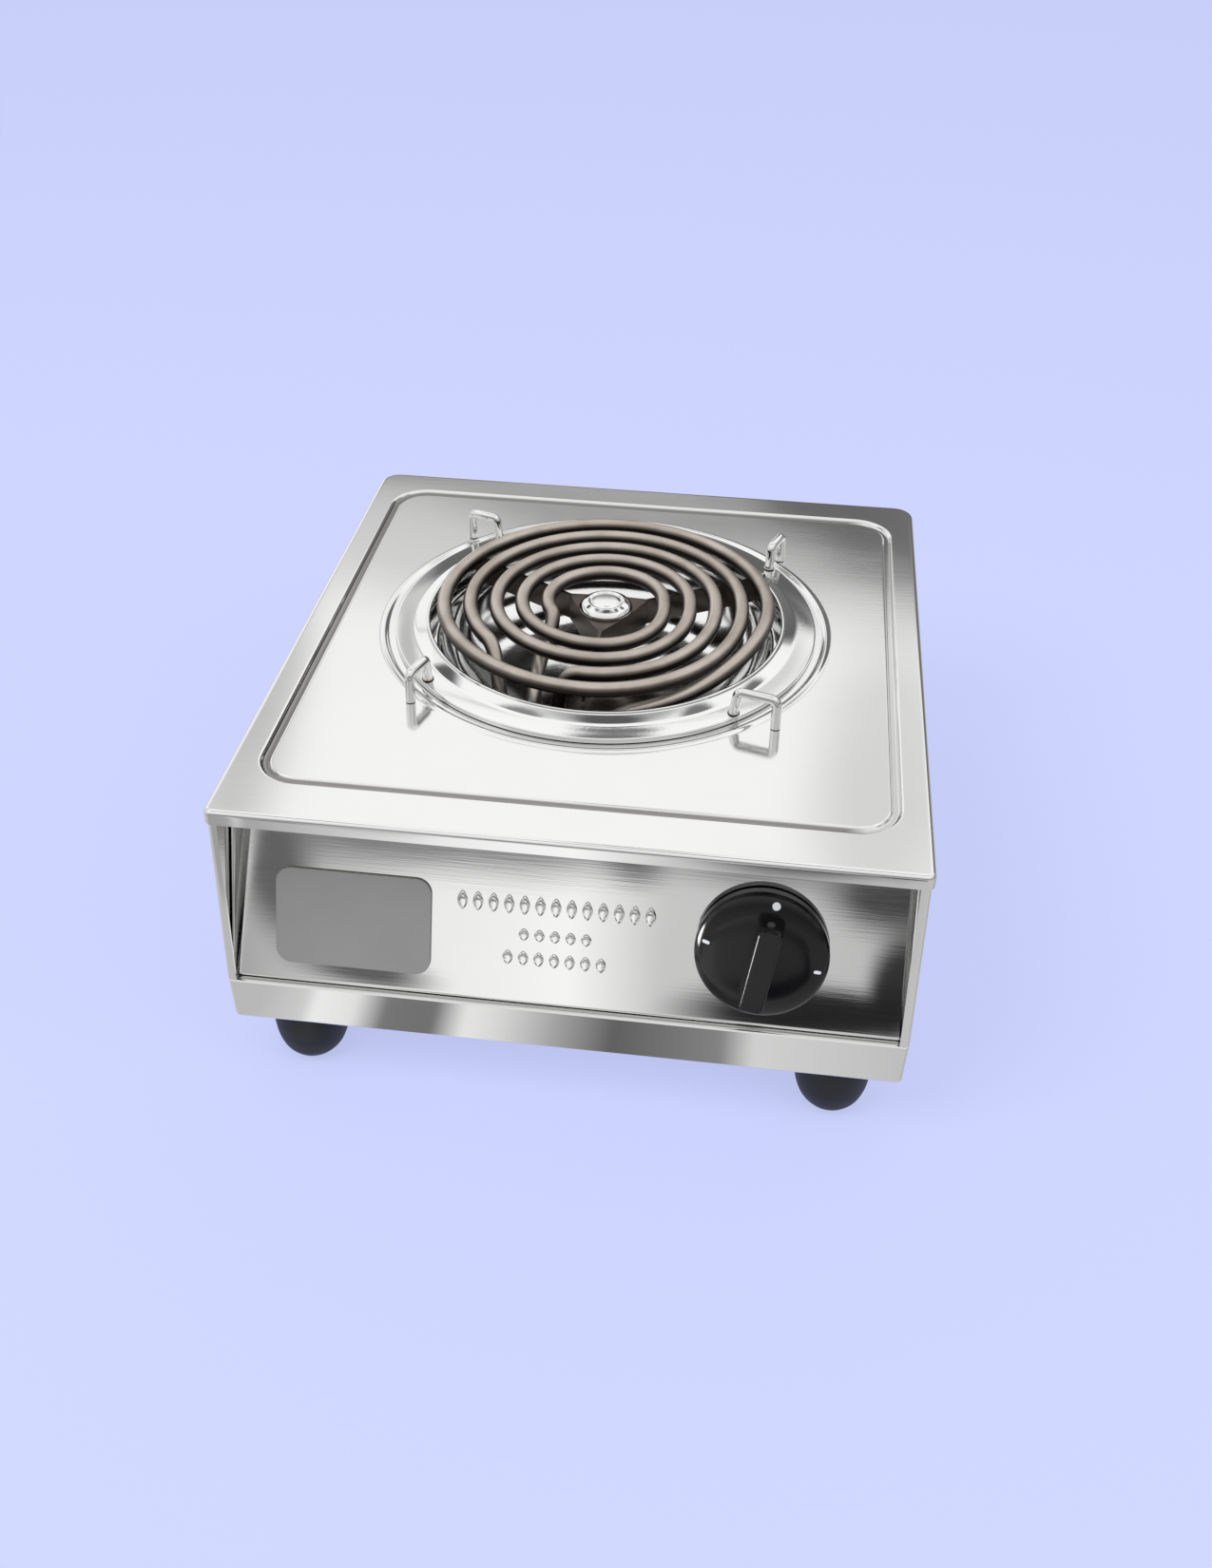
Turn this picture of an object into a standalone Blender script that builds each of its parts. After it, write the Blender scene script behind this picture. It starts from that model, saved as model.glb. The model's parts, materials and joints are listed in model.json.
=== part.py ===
"""Single-burner electric hotplate in polished stainless steel.

A pressed top plate sits on a folded body and a tapered base tray. Two tubular heaters lie over a
drip bowl, a loose ring with four wire pan supports goes round them, and a rotary switch behind
the front panel is turned by a black knob. Metres, +Z up, standing on Z = 0, front towards -Y.
"""

from math import atan2, ceil, cos, floor, pi, radians, sin

import bmesh
import bpy
from mathutils import Matrix, Vector

# Driving dimensions of the whole
PLATE_WIDTH = 0.280
PLATE_DEPTH = 0.300
BODY_HEIGHT = 0.0872
TRAY_HEIGHT = 0.0211
FOOT_HEIGHT = 0.0297
CLEARANCE = 0.0003
RUNNING_CLEARANCE = 0.0002
TOOL_OVERRUN = 0.004
ROUND_SIDES = 24

# Top plate
PLATE_SHEET = 0.0008
LIP_HEIGHT = 0.0060
LIP_FOLD = 0.0014
PLATE_FRONT_CORNER = 0.0035
PLATE_BACK_CORNER = 0.0095
GROOVE_SIDE_MARGIN = 0.0115
GROOVE_FRONT_MARGIN = 0.0225
GROOVE_BACK_MARGIN = 0.0175
GROOVE_CORNER = 0.018
GROOVE_WALL = 0.0015
GROOVE_FLOOR = 0.0018
GROOVE_DEPTH = 0.0015
PANEL_DROP = 0.0005
BURNER_X = -0.0035
BURNER_Y = 0.0125
OPENING_MARGIN = 0.0030
OPENING_TURN_DOWN = 0.003
RIB_MARGIN = 0.0050
RIB_HALF_WIDTH = 0.0021
RIB_CREST = 0.0009
RIB_HEIGHT = 0.0011
PLATE_SIDE_STEPS = 8

# Body wrap and front panel
BODY_SHEET = 0.0010
WRAP_FLANGE = 0.0040
PANEL_RECESS = 0.0026
PANEL_RETURN = 0.0085
PANEL_FOLD = 0.0014
PANEL_TILT = radians(15)

# Base tray
TRAY_SHEET = 0.0010
TRAY_TAPER = 0.0010
TRAY_FOLD = 0.0014
TRAY_UPSTAND = 0.0120
VENT_LENGTH = 0.046
VENT_WIDTH = 0.0050
VENT_PITCH = 0.0130
VENTS_IN_ROW = 6
VENT_ROW_Y = 0.034

# Nameplate, left bare
NAMEPLATE_SIDE_MARGIN = 0.0536
NAMEPLATE_DROP = 0.0576
NAMEPLATE_WIDTH = 0.0640
NAMEPLATE_HEIGHT = 0.0420
NAMEPLATE_CORNER = 0.0065
NAMEPLATE_THICKNESS = 0.0009

# Drip bowl
BOWL_SHEET = 0.0008
BOWL_SIDES = 40
BOWL_COIL_MARGIN = 0.0030
BOWL_LEDGE_WIDTH = 0.0075
BOWL_RIM_WIDTH = 0.0085
BOWL_LEDGE_DROP = 0.0046
BOWL_DEPTH = 0.0330
BOWL_WALL_SHARES = ((0.97, 0.22), (0.90, 0.50), (0.76, 0.78), (0.55, 0.95), (0.30, 1.0))
WINDOW_FRONT_OVERRUN = 0.0030
WINDOW_BACK_REACH = 0.0120
WINDOW_SIDE_MARGIN = 0.0055
WINDOW_WEB = 0.0040

# Pan ring
RING_SHEET = 0.0010
RING_SIDES = 48
RING_COIL_MARGIN = 0.0065
RING_COLLAR_WIDTH = 0.0062
RING_FLANGE_WIDTH = 0.0096
RING_HEIGHT = 0.0062
RING_FLANGE_SLOPE = 0.0006
RING_BEND = 0.0007

# Pan supports, bent by hand and not quite alike: front right, back right, back left, front left
SUPPORT_WIRE = 0.0042
SUPPORT_ARM_HEIGHT = 0.0138
SUPPORT_END_INSET = 0.0030
SUPPORT_SLANT = 0.0015
SUPPORT_BEND = 0.0026
SUPPORT_TURN = radians(27)
SUPPORT_ANGLES = (radians(-42.3), radians(43), radians(136), radians(225.6))
SUPPORT_LEG_SPACES = (0.0038, 0.0006, 0.0005, 0.0008)

# Heater tubes
TUBE_DIAMETER = 0.0066
COIL_HEIGHT = 0.0118
COIL_RADIUS = 0.0735
COIL_PITCH = 0.0118
COIL_STEP_SHARE = 0.27
LOOP_POINTS = 24
OUTER_START_TURN = 0.05
OUTER_END_TURN = 1.86
OUTER_START_DROP = 0.0122
OUTER_RISE_SHARE = 0.22
INNER_START_TURN = -0.008
INNER_END_TURN = 2.83
TAIL_DROP = 0.0470
TAIL_SETBACK = 0.0075
TAIL_POINTS = 9
OUTER_END_TAIL_X = -0.0370
INNER_END_TAIL_X = -0.0245
INNER_START_TAIL_X = -0.0120
OUTER_START_TAIL_X = 0.0070
TAIL_START_HANDLE = 0.012
TAIL_END_HANDLE = 0.020
INNER_DIVE_DROP = 0.0112
INNER_DIVE_FORWARD = 0.0340

# Element spider and medallion
ARM_THICKNESS = 0.0016
ARM_REST = 0.0017
ARMS = 3
HUB_RADIUS = 0.0120
HUB_CORNER_RADIUS = 0.0205
MEDALLION_SIDES = 28
MEDALLION_RADIUS = 0.0122
MEDALLION_HEIGHT = 0.0042
MEDALLION_EDGE = 0.0010
MEDALLION_SCREW_RADIUS = 0.0020
MEDALLION_SCREW_HEAD_RADIUS = 0.0042
MEDALLION_SCREW_HEAD = 0.0022

# Terminals under the bowl
BEAD_SIDES = 14
TERMINAL_BEAD_RADIUS = 0.0036
TERMINAL_BEAD_LENGTH = 0.0070
PIN_RADIUS = 0.0012
PIN_DEPTH = 0.0090
BLOCK_DEPTH = 0.0180
BLOCK_HEIGHT = 0.0150
BLOCK_MARGIN = 0.0125
BLOCK_SCREW_INSET = 0.0055
BLOCK_CORNER = 0.0020
BRACKET_SHEET = 0.0012
BRACKET_FOOT = 0.0160

# Rotary switch and knob
KNOB_SIDE_MARGIN = 0.0618
KNOB_DROP = 0.0531
KNOB_REST_ANGLE = radians(-10)
KNOB_SIDES = 40
KNOB_RADIUS = 0.0265
KNOB_STAND_OFF = 0.0010
KNOB_SKIRT = 0.0042
KNOB_ROUND = 0.0006
KNOB_CROWN = 0.0032
KNOB_CROWN_SHARES = ((0, 1), (0.55, 0.985), (0.75, 0.87), (0.87, 0.63), (0.94, 0.36))
KNOB_CAVITY_RADIUS = 0.0242
KNOB_CAVITY_DEPTH = 0.0026
KNOB_BOSS_RADIUS = 0.0065
GRIP_HEIGHT = 0.0163
GRIP_BASE_LENGTH = 0.0366
GRIP_TOP_LENGTH = 0.0344
GRIP_BASE_WIDTH = 0.0112
GRIP_TOP_WIDTH = 0.0094
GRIP_CORNER = 0.0022
GRIP_ROUND = 0.0007
SHAFT_RADIUS = 0.0030
SHAFT_FLAT = 0.0010
SHAFT_IN_KNOB = 0.0120
SWITCH_HALF = 0.0180
SWITCH_DEPTH = 0.0300
SWITCH_WALL = 0.0022
SWITCH_CORNER = 0.0030
COVER_THICKNESS = 0.0030
TAB_LENGTH = 0.0070
TAB_WIDTH = 0.0063
TAB_THICKNESS = 0.0008
TAB_SPREAD = 0.0095
CAM_SIDES = 36
SWITCH_SETTINGS = 4
CAM_RADIUS = 0.0115
CAM_DIP = 0.0022
CAM_LENGTH = 0.0140
CAM_SETBACK = 0.0040
SWITCH_SCREW_SPREAD = 0.0140

# Supply inlet
GLAND_SIDE_MARGIN = 0.0550
GLAND_RISE = 0.0230
GLAND_FLANGE_RADIUS = 0.0110
GLAND_BARREL_RADIUS = 0.0080
GLAND_BORE_RADIUS = 0.0040
GLAND_FLANGE = 0.0030
GLAND_NOSE = 0.0060
GLAND_BARREL = 0.0120
GLAND_NUT_SIDES = 6
GLAND_NUT_RADIUS = 0.0125
GLAND_NUT_LENGTH = 0.0050
SUPPLY_BACK_MARGIN = 0.0409
SUPPLY_LENGTH = 0.0360
SUPPLY_DEPTH = 0.0180
SUPPLY_HEIGHT = 0.0140
EARTH_SIDE_MARGIN = 0.0980
EARTH_BACK_MARGIN = 0.0369

# Fasteners and wires
SCREW_RADIUS = 0.0019
SCREW_HEAD_RADIUS = 0.0038
SCREW_HEAD = 0.0022
SCREW_LENGTH = 0.0080
SCREW_SIDES = 10
TRAY_SCREW_END_MARGIN = 0.0489
LEAD_DIAMETER = 0.0028
LEAD_POINT_STEP = 3 * LEAD_DIAMETER

# Feet
FOOT_SIDES = 18
FOOT_RADIUS = 0.0166
FOOT_SIDE_INSET = 0.0290
FOOT_FRONT_INSET = 0.0215
FOOT_TREAD_RADIUS = 0.0085
FOOT_COUNTERBORE_RADIUS = 0.0046
FOOT_COUNTERBORE_DEPTH = 0.0180
FOOT_SHAPE_SHARES = ((0.62, 0.05), (0.79, 0.17), (0.91, 0.36), (0.97, 0.62), (1.0, 1.0))

# Levels and places worked out from the sizes above
TRAY_TOP_Z = FOOT_HEIGHT + TRAY_HEIGHT
PLATE_TOP_Z = TRAY_TOP_Z + BODY_HEIGHT
SURFACE_Z = PLATE_TOP_Z - PANEL_DROP
TRAY_FLOOR_TOP_Z = FOOT_HEIGHT + TRAY_SHEET
BODY_HALF_X = PLATE_WIDTH / 2 - PLATE_SHEET - CLEARANCE
BODY_HALF_Y = PLATE_DEPTH / 2 - PLATE_SHEET - CLEARANCE
WRAP_FRONT_CORNER = PLATE_FRONT_CORNER - PLATE_SHEET - CLEARANCE
WRAP_BACK_CORNER = PLATE_BACK_CORNER - PLATE_SHEET - CLEARANCE
BODY_TOP_Z = PLATE_TOP_Z - LIP_FOLD - CLEARANCE
PANEL_FRONT_Y = -BODY_HALF_Y + PANEL_RECESS
PANEL_FOOT_Z = TRAY_TOP_Z + CLEARANCE
PANEL_TOP_Z = PLATE_TOP_Z - GROOVE_DEPTH - PLATE_SHEET - CLEARANCE
PANEL_SLOPE = sin(PANEL_TILT) / cos(PANEL_TILT)
BOWL_LEDGE_RADIUS = COIL_RADIUS + BOWL_COIL_MARGIN
BOWL_NECK_RADIUS = BOWL_LEDGE_RADIUS + BOWL_LEDGE_WIDTH
BOWL_RIM_RADIUS = BOWL_NECK_RADIUS + BOWL_RIM_WIDTH
BOWL_RIM_TOP = CLEARANCE + BOWL_SHEET
RING_BORE_RADIUS = COIL_RADIUS + RING_COIL_MARGIN
RING_COLLAR_FOOT = RING_BORE_RADIUS + RING_COLLAR_WIDTH
RING_RADIUS = RING_COLLAR_FOOT + RING_FLANGE_WIDTH
OPENING_RADIUS = BOWL_NECK_RADIUS + BOWL_SHEET + OPENING_MARGIN
RIB_RADIUS = RING_RADIUS + RIB_MARGIN
COIL_Z = SURFACE_Z + COIL_HEIGHT
ARM_TOP_Z = COIL_Z - TUBE_DIAMETER / 2 - CLEARANCE
ARM_BOTTOM_Z = SURFACE_Z - BOWL_LEDGE_DROP + CLEARANCE
TAIL_Z = COIL_Z - TAIL_DROP
TAIL_FORWARD = COIL_RADIUS - TAIL_SETBACK
TAIL_Y = BURNER_Y - TAIL_FORWARD
TAIL_XS = (
    BURNER_X + OUTER_END_TAIL_X,
    BURNER_X + INNER_END_TAIL_X,
    BURNER_X + INNER_START_TAIL_X,
    BURNER_X + OUTER_START_TAIL_X,
)
BLOCK_TOP_Z = TAIL_Z - TERMINAL_BEAD_LENGTH - 2 * CLEARANCE
BLOCK_LEFT = TAIL_XS[0] - BLOCK_MARGIN
BLOCK_RIGHT = TAIL_XS[-1] + BLOCK_MARGIN
KNOB_X = PLATE_WIDTH / 2 - KNOB_SIDE_MARGIN
KNOB_Z = PLATE_TOP_Z - KNOB_DROP
KNOB_Y = PANEL_FRONT_Y + (KNOB_Z - PANEL_FOOT_Z) * PANEL_SLOPE
KNOB_TOP = KNOB_STAND_OFF + KNOB_SKIRT + GRIP_HEIGHT
COVER_BACK = BODY_SHEET + CLEARANCE + SWITCH_DEPTH + CLEARANCE + COVER_THICKNESS
GLAND_X = PLATE_WIDTH / 2 - GLAND_SIDE_MARGIN
GLAND_Z = TRAY_TOP_Z + GLAND_RISE
SUPPLY_Y = BODY_HALF_Y - SUPPLY_BACK_MARGIN
EARTH_X = PLATE_WIDTH / 2 - EARTH_SIDE_MARGIN
EARTH_Y = BODY_HALF_Y - EARTH_BACK_MARGIN
SUPPLY_TOP_Z = TRAY_FLOOR_TOP_Z + CLEARANCE + SUPPLY_HEIGHT
BACK_REACH = BODY_HALF_Y + CLEARANCE + GLAND_FLANGE + GLAND_NOSE

# Finishes: colour, metallic, roughness
FINISHES = {
    "polished_steel": ((0.78, 0.78, 0.77, 1), 1.0, 0.12),
    "bracket_steel": ((0.60, 0.60, 0.58, 1), 1.0, 0.35),
    "heater_sheath": ((0.45, 0.40, 0.35, 1), 0.9, 0.42),
    "black_knob": ((0.012, 0.012, 0.014, 1), 0.0, 0.18),
    "black_rubber": ((0.015, 0.015, 0.015, 1), 0.0, 0.65),
    "nameplate_grey": ((0.36, 0.35, 0.36, 1), 0.6, 0.45),
    "ceramic": ((0.86, 0.84, 0.78, 1), 0.0, 0.35),
    "phenolic": ((0.05, 0.035, 0.03, 1), 0.0, 0.45),
    "brass": ((0.78, 0.60, 0.30, 1), 1.0, 0.3),
    "red_wire": ((0.55, 0.03, 0.02, 1), 0.0, 0.4),
    "blue_wire": ((0.03, 0.12, 0.45, 1), 0.0, 0.4),
    "green_wire": ((0.05, 0.35, 0.08, 1), 0.0, 0.4),
}


def material(finish):
    """One Principled material for each finish, made when it is first asked for."""
    found = bpy.data.materials.get(finish)
    if found:
        return found
    colour, metallic, roughness = FINISHES[finish]
    made = bpy.data.materials.new(finish)
    made.use_nodes = True
    shader = made.node_tree.nodes["Principled BSDF"]
    shader.inputs["Base Color"].default_value = colour
    shader.inputs["Metallic"].default_value = metallic
    shader.inputs["Roughness"].default_value = roughness
    made.diffuse_color = colour
    return made


def empty(name, place=(0, 0, 0), turn=(0, 0, 0), parent=None):
    """An empty that carries pieces, so that they are modelled round their own axis."""
    made = bpy.data.objects.new(name, None)
    bpy.context.collection.objects.link(made)
    made.location = place
    made.rotation_euler = turn
    made.parent = parent
    return made


def add(name, shape, finish, parent, place=(0, 0, 0), turn=(0, 0, 0)):
    """Makes a bmesh or a curve into one named piece."""
    if isinstance(shape, bmesh.types.BMesh):
        data = bpy.data.meshes.new(name)
        bmesh.ops.recalc_face_normals(shape, faces=shape.faces)
        shape.to_mesh(data)
        shape.free()
        data.shade_smooth()
        data.set_sharp_from_angle(angle=radians(32))
    else:
        data = shape
    piece = bpy.data.objects.new(name, data)
    data.materials.append(material(finish))
    bpy.context.collection.objects.link(piece)
    piece.location = place
    piece.rotation_euler = turn
    piece.parent = parent
    return piece


def combine(piece, shape, operation, name):
    """A Boolean of a piece with a hidden tool, whose mesh is in the piece's own coordinates."""
    data = bpy.data.meshes.new(name)
    bmesh.ops.recalc_face_normals(shape, faces=shape.faces)
    shape.to_mesh(data)
    shape.free()
    tool = bpy.data.objects.new(name, data)
    bpy.context.collection.objects.link(tool)
    tool.parent = piece.parent
    tool.location = piece.location
    tool.rotation_euler = piece.rotation_euler
    tool.hide_render = True
    tool.display_type = "WIRE"
    modifier = piece.modifiers.new(name, "BOOLEAN")
    modifier.operation = operation
    modifier.solver = "EXACT"
    modifier.object = tool


def joined(shapes):
    """Several separate closed shapes as one bmesh, for use as one Boolean tool."""
    whole = bmesh.new()
    for shape in shapes:
        carrier = bpy.data.meshes.new("carrier")
        shape.to_mesh(carrier)
        shape.free()
        whole.from_mesh(carrier)
        bpy.data.meshes.remove(carrier)
    return whole


def moved(shape, place=(0, 0, 0), turn=None):
    """A bmesh turned about the origin, then moved."""
    matrix = Matrix.Translation(place)
    if turn:
        matrix = matrix @ turn
    bmesh.ops.transform(shape, matrix=matrix, verts=shape.verts)
    return shape


def solid(loops, ring=False):
    """A closed body through loops of equal count: capped at both ends, or closed on itself as a ring."""
    shape = bmesh.new()
    rows = [[shape.verts.new(point) for point in loop] for loop in loops]
    pairs = list(zip(rows, rows[1:]))
    if ring:
        pairs.append((rows[-1], rows[0]))
    for low, high in pairs:
        for i, vertex in enumerate(low):
            after = (i + 1) % len(low)
            shape.faces.new((vertex, low[after], high[after], high[i]))
    if not ring:
        shape.faces.new(rows[0])
        shape.faces.new(rows[-1])
    bmesh.ops.recalc_face_normals(shape, faces=shape.faces)
    return shape


def turned(profile, sides, ring=False):
    """A body of revolution about Z from points (radius, height); an open profile ends on the axis."""
    shape = bmesh.new()
    points = [shape.verts.new((radius, 0, height)) for radius, height in profile]
    edges = [shape.edges.new(pair) for pair in zip(points, points[1:])]
    if ring:
        edges.append(shape.edges.new((points[-1], points[0])))
    bmesh.ops.spin(
        shape,
        geom=points + edges,
        cent=(0, 0, 0),
        axis=(0, 0, 1),
        angle=2 * pi,
        steps=sides,
        use_merge=True,
    )
    bmesh.ops.remove_doubles(shape, verts=shape.verts, dist=CLEARANCE / 100)
    bmesh.ops.recalc_face_normals(shape, faces=shape.faces)
    return shape


def level(outline, height):
    """A flat outline lifted to a height."""
    return [Vector((x, y, height)) for x, y in outline]


def prism(outline, low, high):
    """A flat outline extruded along Z."""
    return solid([level(outline, low), level(outline, high)])


def circle(radius, sides, centre=(0, 0)):
    """A regular outline, anticlockwise."""
    return [
        (centre[0] + radius * cos(2 * pi * i / sides), centre[1] + radius * sin(2 * pi * i / sides))
        for i in range(sides)
    ]


def box(low, high):
    """A box between two corners."""
    outline = [(low[0], low[1]), (high[0], low[1]), (high[0], high[1]), (low[0], high[1])]
    return prism(outline, low[2], high[2])


def fan(start, end, about, steps):
    """The inner points of a straight side, where evenly turned rays from a point meet it."""
    first = atan2(start[1] - about[1], start[0] - about[0])
    last = atan2(end[1] - about[1], end[0] - about[0])
    if last < first:
        last += 2 * pi
    points = []
    for k in range(1, steps):
        angle = first + (last - first) * k / steps
        along = Vector((end[0] - start[0], end[1] - start[1]))
        ray = Vector((cos(angle), sin(angle)))
        offset = Vector((about[0] - start[0], about[1] - start[1]))
        share = (offset.x * ray.y - offset.y * ray.x) / (along.x * ray.y - along.y * ray.x)
        points.append((start[0] + share * along.x, start[1] + share * along.y))
    return points


def rounded(low, high, low_corner, high_corner, about=(0, 0), arc_steps=4, side_steps=1):
    """A rounded rectangle, anticlockwise, with one corner radius at its low and one at its high side."""
    corners = (
        (high[0] - low_corner, low[1] + low_corner, low_corner, -90),
        (high[0] - high_corner, high[1] - high_corner, high_corner, 0),
        (low[0] + high_corner, high[1] - high_corner, high_corner, 90),
        (low[0] + low_corner, low[1] + low_corner, low_corner, 180),
    )
    arcs = []
    for x, y, radius, start in corners:
        angles = [radians(start + 90 * k / arc_steps) for k in range(arc_steps + 1)]
        arcs.append([(x + radius * cos(a), y + radius * sin(a)) for a in angles])
    points = []
    for arc, following in zip(arcs, arcs[1:] + arcs[:1]):
        points += arc
        points += fan(arc[-1], following[0], about, side_steps)
    return points


def slot(length, width, centre, ends=5):
    """An outline with round ends, long in Y."""
    reach = length / 2 - width / 2
    points = []
    for side, start in ((1, 0), (-1, 180)):
        for k in range(ends):
            angle = radians(start + 180 * k / (ends - 1))
            points.append(
                (
                    centre[0] + width / 2 * cos(angle),
                    centre[1] + side * reach + width / 2 * sin(angle),
                )
            )
    return points


def strip(path, thickness):
    """The outline of a bent sheet, seen on its edge, to the left of a path of points."""
    inner = []
    for i, point in enumerate(path):
        here = Vector(point)
        before = (here - Vector(path[i - 1])).normalized() if i > 0 else None
        after = (Vector(path[i + 1]) - here).normalized() if i < len(path) - 1 else None
        before = before or after
        after = after or before
        middle = (before + after).normalized()
        normal = Vector((-middle.y, middle.x))
        reach = thickness / max(middle.dot(before), 0.2)
        inner.append(tuple(here + normal * reach))
    return list(path) + inner[::-1]


def rounded_path(points, radius, steps=4):
    """Straight runs through points in space, with each corner rounded by an arc."""
    path = [Vector(points[0])]
    for before, here, after in zip(points, points[1:], points[2:]):
        here = Vector(here)
        into = (Vector(before) - here).normalized()
        out = (Vector(after) - here).normalized()
        half = into.angle(out) / 2
        setback = radius / (sin(half) / cos(half))
        centre = here + (into + out).normalized() * radius / sin(half)
        start = here + into * setback - centre
        end = here + out * setback - centre
        for k in range(steps + 1):
            path.append(centre + start.slerp(end, k / steps) * radius)
    path.append(Vector(points[-1]))
    return path


def bezier(start, start_handle, end_handle, end, steps):
    """Points along a cubic curve, without its first."""
    made = []
    for k in range(1, steps + 1):
        t = k / steps
        made.append(
            start * (1 - t) ** 3
            + start_handle * 3 * t * (1 - t) ** 2
            + end_handle * 3 * t**2 * (1 - t)
            + end * t**3
        )
    return made


def smooth_path(points, step):
    """Points a step apart on a smooth curve through a wire's own points."""
    points = [Vector(p) for p in points]
    ends = [2 * points[0] - points[1], *points, 2 * points[-1] - points[-2]]
    path = [points[0]]
    for a, b, c, d in zip(ends, ends[1:], ends[2:], ends[3:]):
        reach = (c - b).length / 3
        start_handle = b + (c - a).normalized() * reach
        end_handle = c - (d - b).normalized() * reach
        path += bezier(b, start_handle, end_handle, c, max(2, ceil((c - b).length / step)))
    return path


def tube(name, path, diameter, resolution):
    """A round rod along a path of points, with its ends filled."""
    data = bpy.data.curves.new(name, "CURVE")
    data.dimensions = "3D"
    data.fill_mode = "FULL"
    data.bevel_depth = diameter / 2
    data.bevel_resolution = resolution
    data.use_fill_caps = True
    line = data.splines.new("POLY")
    line.points.add(len(path) - 1)
    for point, place in zip(line.points, path):
        point.co = (*place, 1)
    line.use_smooth = True
    return data


def least_gap(path, other, diameter, near):
    """The least space between two runs of tube, or within one, leaving out neighbours along it."""
    found = []
    for i, a in enumerate(path):
        for j, b in enumerate(other):
            if path is not other or abs(i - j) > near:
                found.append((a - b).length - diameter)
    return min(found)


def screw(head_radius, head, shank_radius, length, sides=SCREW_SIDES):
    """A pan-head screw along Z, with its seat at Z = 0 and its shank below."""
    profile = (
        (0, head),
        (head_radius * 0.62, head * 0.90),
        (head_radius, head * 0.35),
        (head_radius, 0),
        (shank_radius, 0),
        (shank_radius, -length),
        (0, -length),
    )
    return turned(profile, sides)


def plate_outline(inset, about):
    """The top plate's outline, drawn in by the same amount all round."""
    return rounded(
        (-PLATE_WIDTH / 2 + inset, -PLATE_DEPTH / 2 + inset),
        (PLATE_WIDTH / 2 - inset, PLATE_DEPTH / 2 - inset),
        PLATE_FRONT_CORNER - inset,
        PLATE_BACK_CORNER - inset,
        about,
        side_steps=PLATE_SIDE_STEPS,
    )


def groove_outline(inset, about):
    """The pressed groove's outer edge, drawn in towards the panel."""
    return rounded(
        (-PLATE_WIDTH / 2 + GROOVE_SIDE_MARGIN + inset, -PLATE_DEPTH / 2 + GROOVE_FRONT_MARGIN + inset),
        (PLATE_WIDTH / 2 - GROOVE_SIDE_MARGIN - inset, PLATE_DEPTH / 2 - GROOVE_BACK_MARGIN - inset),
        GROOVE_CORNER - inset,
        GROOVE_CORNER - inset,
        about,
        side_steps=PLATE_SIDE_STEPS,
    )


def burner_circle(radius, angles):
    """A circle round the burner's centre, at given angles."""
    return [(BURNER_X + radius * cos(a), BURNER_Y + radius * sin(a)) for a in angles]


def make_top_plate(body):
    """Folded lip, rim, groove, panel, raised rib and turned-down opening, in one pressed sheet."""
    burner = (BURNER_X, BURNER_Y)
    groove_width = 2 * GROOVE_WALL + GROOVE_FLOOR
    inner_edge = groove_outline(groove_width, burner)
    angles = [atan2(y - BURNER_Y, x - BURNER_X) for x, y in inner_edge]
    stations = [
        (plate_outline(LIP_FOLD, burner), 0),
        (groove_outline(0, burner), 0),
        (groove_outline(GROOVE_WALL, burner), -GROOVE_DEPTH),
        (groove_outline(GROOVE_WALL + GROOVE_FLOOR, burner), -GROOVE_DEPTH),
        (inner_edge, -PANEL_DROP),
        (burner_circle(RIB_RADIUS + RIB_HALF_WIDTH, angles), -PANEL_DROP),
        (burner_circle(RIB_RADIUS + RIB_CREST, angles), -PANEL_DROP + RIB_HEIGHT),
        (burner_circle(RIB_RADIUS - RIB_CREST, angles), -PANEL_DROP + RIB_HEIGHT),
        (burner_circle(RIB_RADIUS - RIB_HALF_WIDTH, angles), -PANEL_DROP),
        (burner_circle(OPENING_RADIUS + PLATE_SHEET, angles), -PANEL_DROP),
    ]
    lip = [
        level(plate_outline(0, burner), -LIP_HEIGHT),
        level(plate_outline(0, burner), -LIP_FOLD),
        level(plate_outline(LIP_FOLD * 0.3, burner), -LIP_FOLD * 0.3),
    ]
    top = [level(outline, height) for outline, height in stations]
    turn_down = [
        level(burner_circle(OPENING_RADIUS, angles), -PANEL_DROP - PLATE_SHEET),
        level(burner_circle(OPENING_RADIUS, angles), -PANEL_DROP - OPENING_TURN_DOWN),
        level(burner_circle(OPENING_RADIUS + PLATE_SHEET, angles), -PANEL_DROP - OPENING_TURN_DOWN),
    ]
    underside = [level(outline, height - PLATE_SHEET) for outline, height in reversed(stations)]
    lip_inside = [
        level(plate_outline(PLATE_SHEET, burner), -LIP_FOLD),
        level(plate_outline(PLATE_SHEET, burner), -LIP_HEIGHT),
    ]
    sheet = solid(lip + top + turn_down + underside + lip_inside, ring=True)
    add("top_plate", sheet, "polished_steel", body, place=(0, 0, PLATE_TOP_Z))


def tray_screw_places():
    """Where the tray is screwed to the side walls: the place on the wall, and the side it faces."""
    height = TRAY_TOP_Z + TRAY_UPSTAND / 2
    return [
        (side * BODY_HALF_X, end * (BODY_HALF_Y - TRAY_SCREW_END_MARGIN), height, side)
        for side in (1, -1)
        for end in (-1, 1)
    ]


def side_holes():
    """Drills for the tray screws, through the walls and the tray's upstand."""
    drills = []
    for x, y, z, side in tray_screw_places():
        drill = prism(circle(SCREW_RADIUS + CLEARANCE, SCREW_SIDES), -TOOL_OVERRUN, TOOL_OVERRUN)
        drills.append(moved(drill, (x, y, z), Matrix.Rotation(radians(90), 4, "Y")))
    return drills


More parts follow.
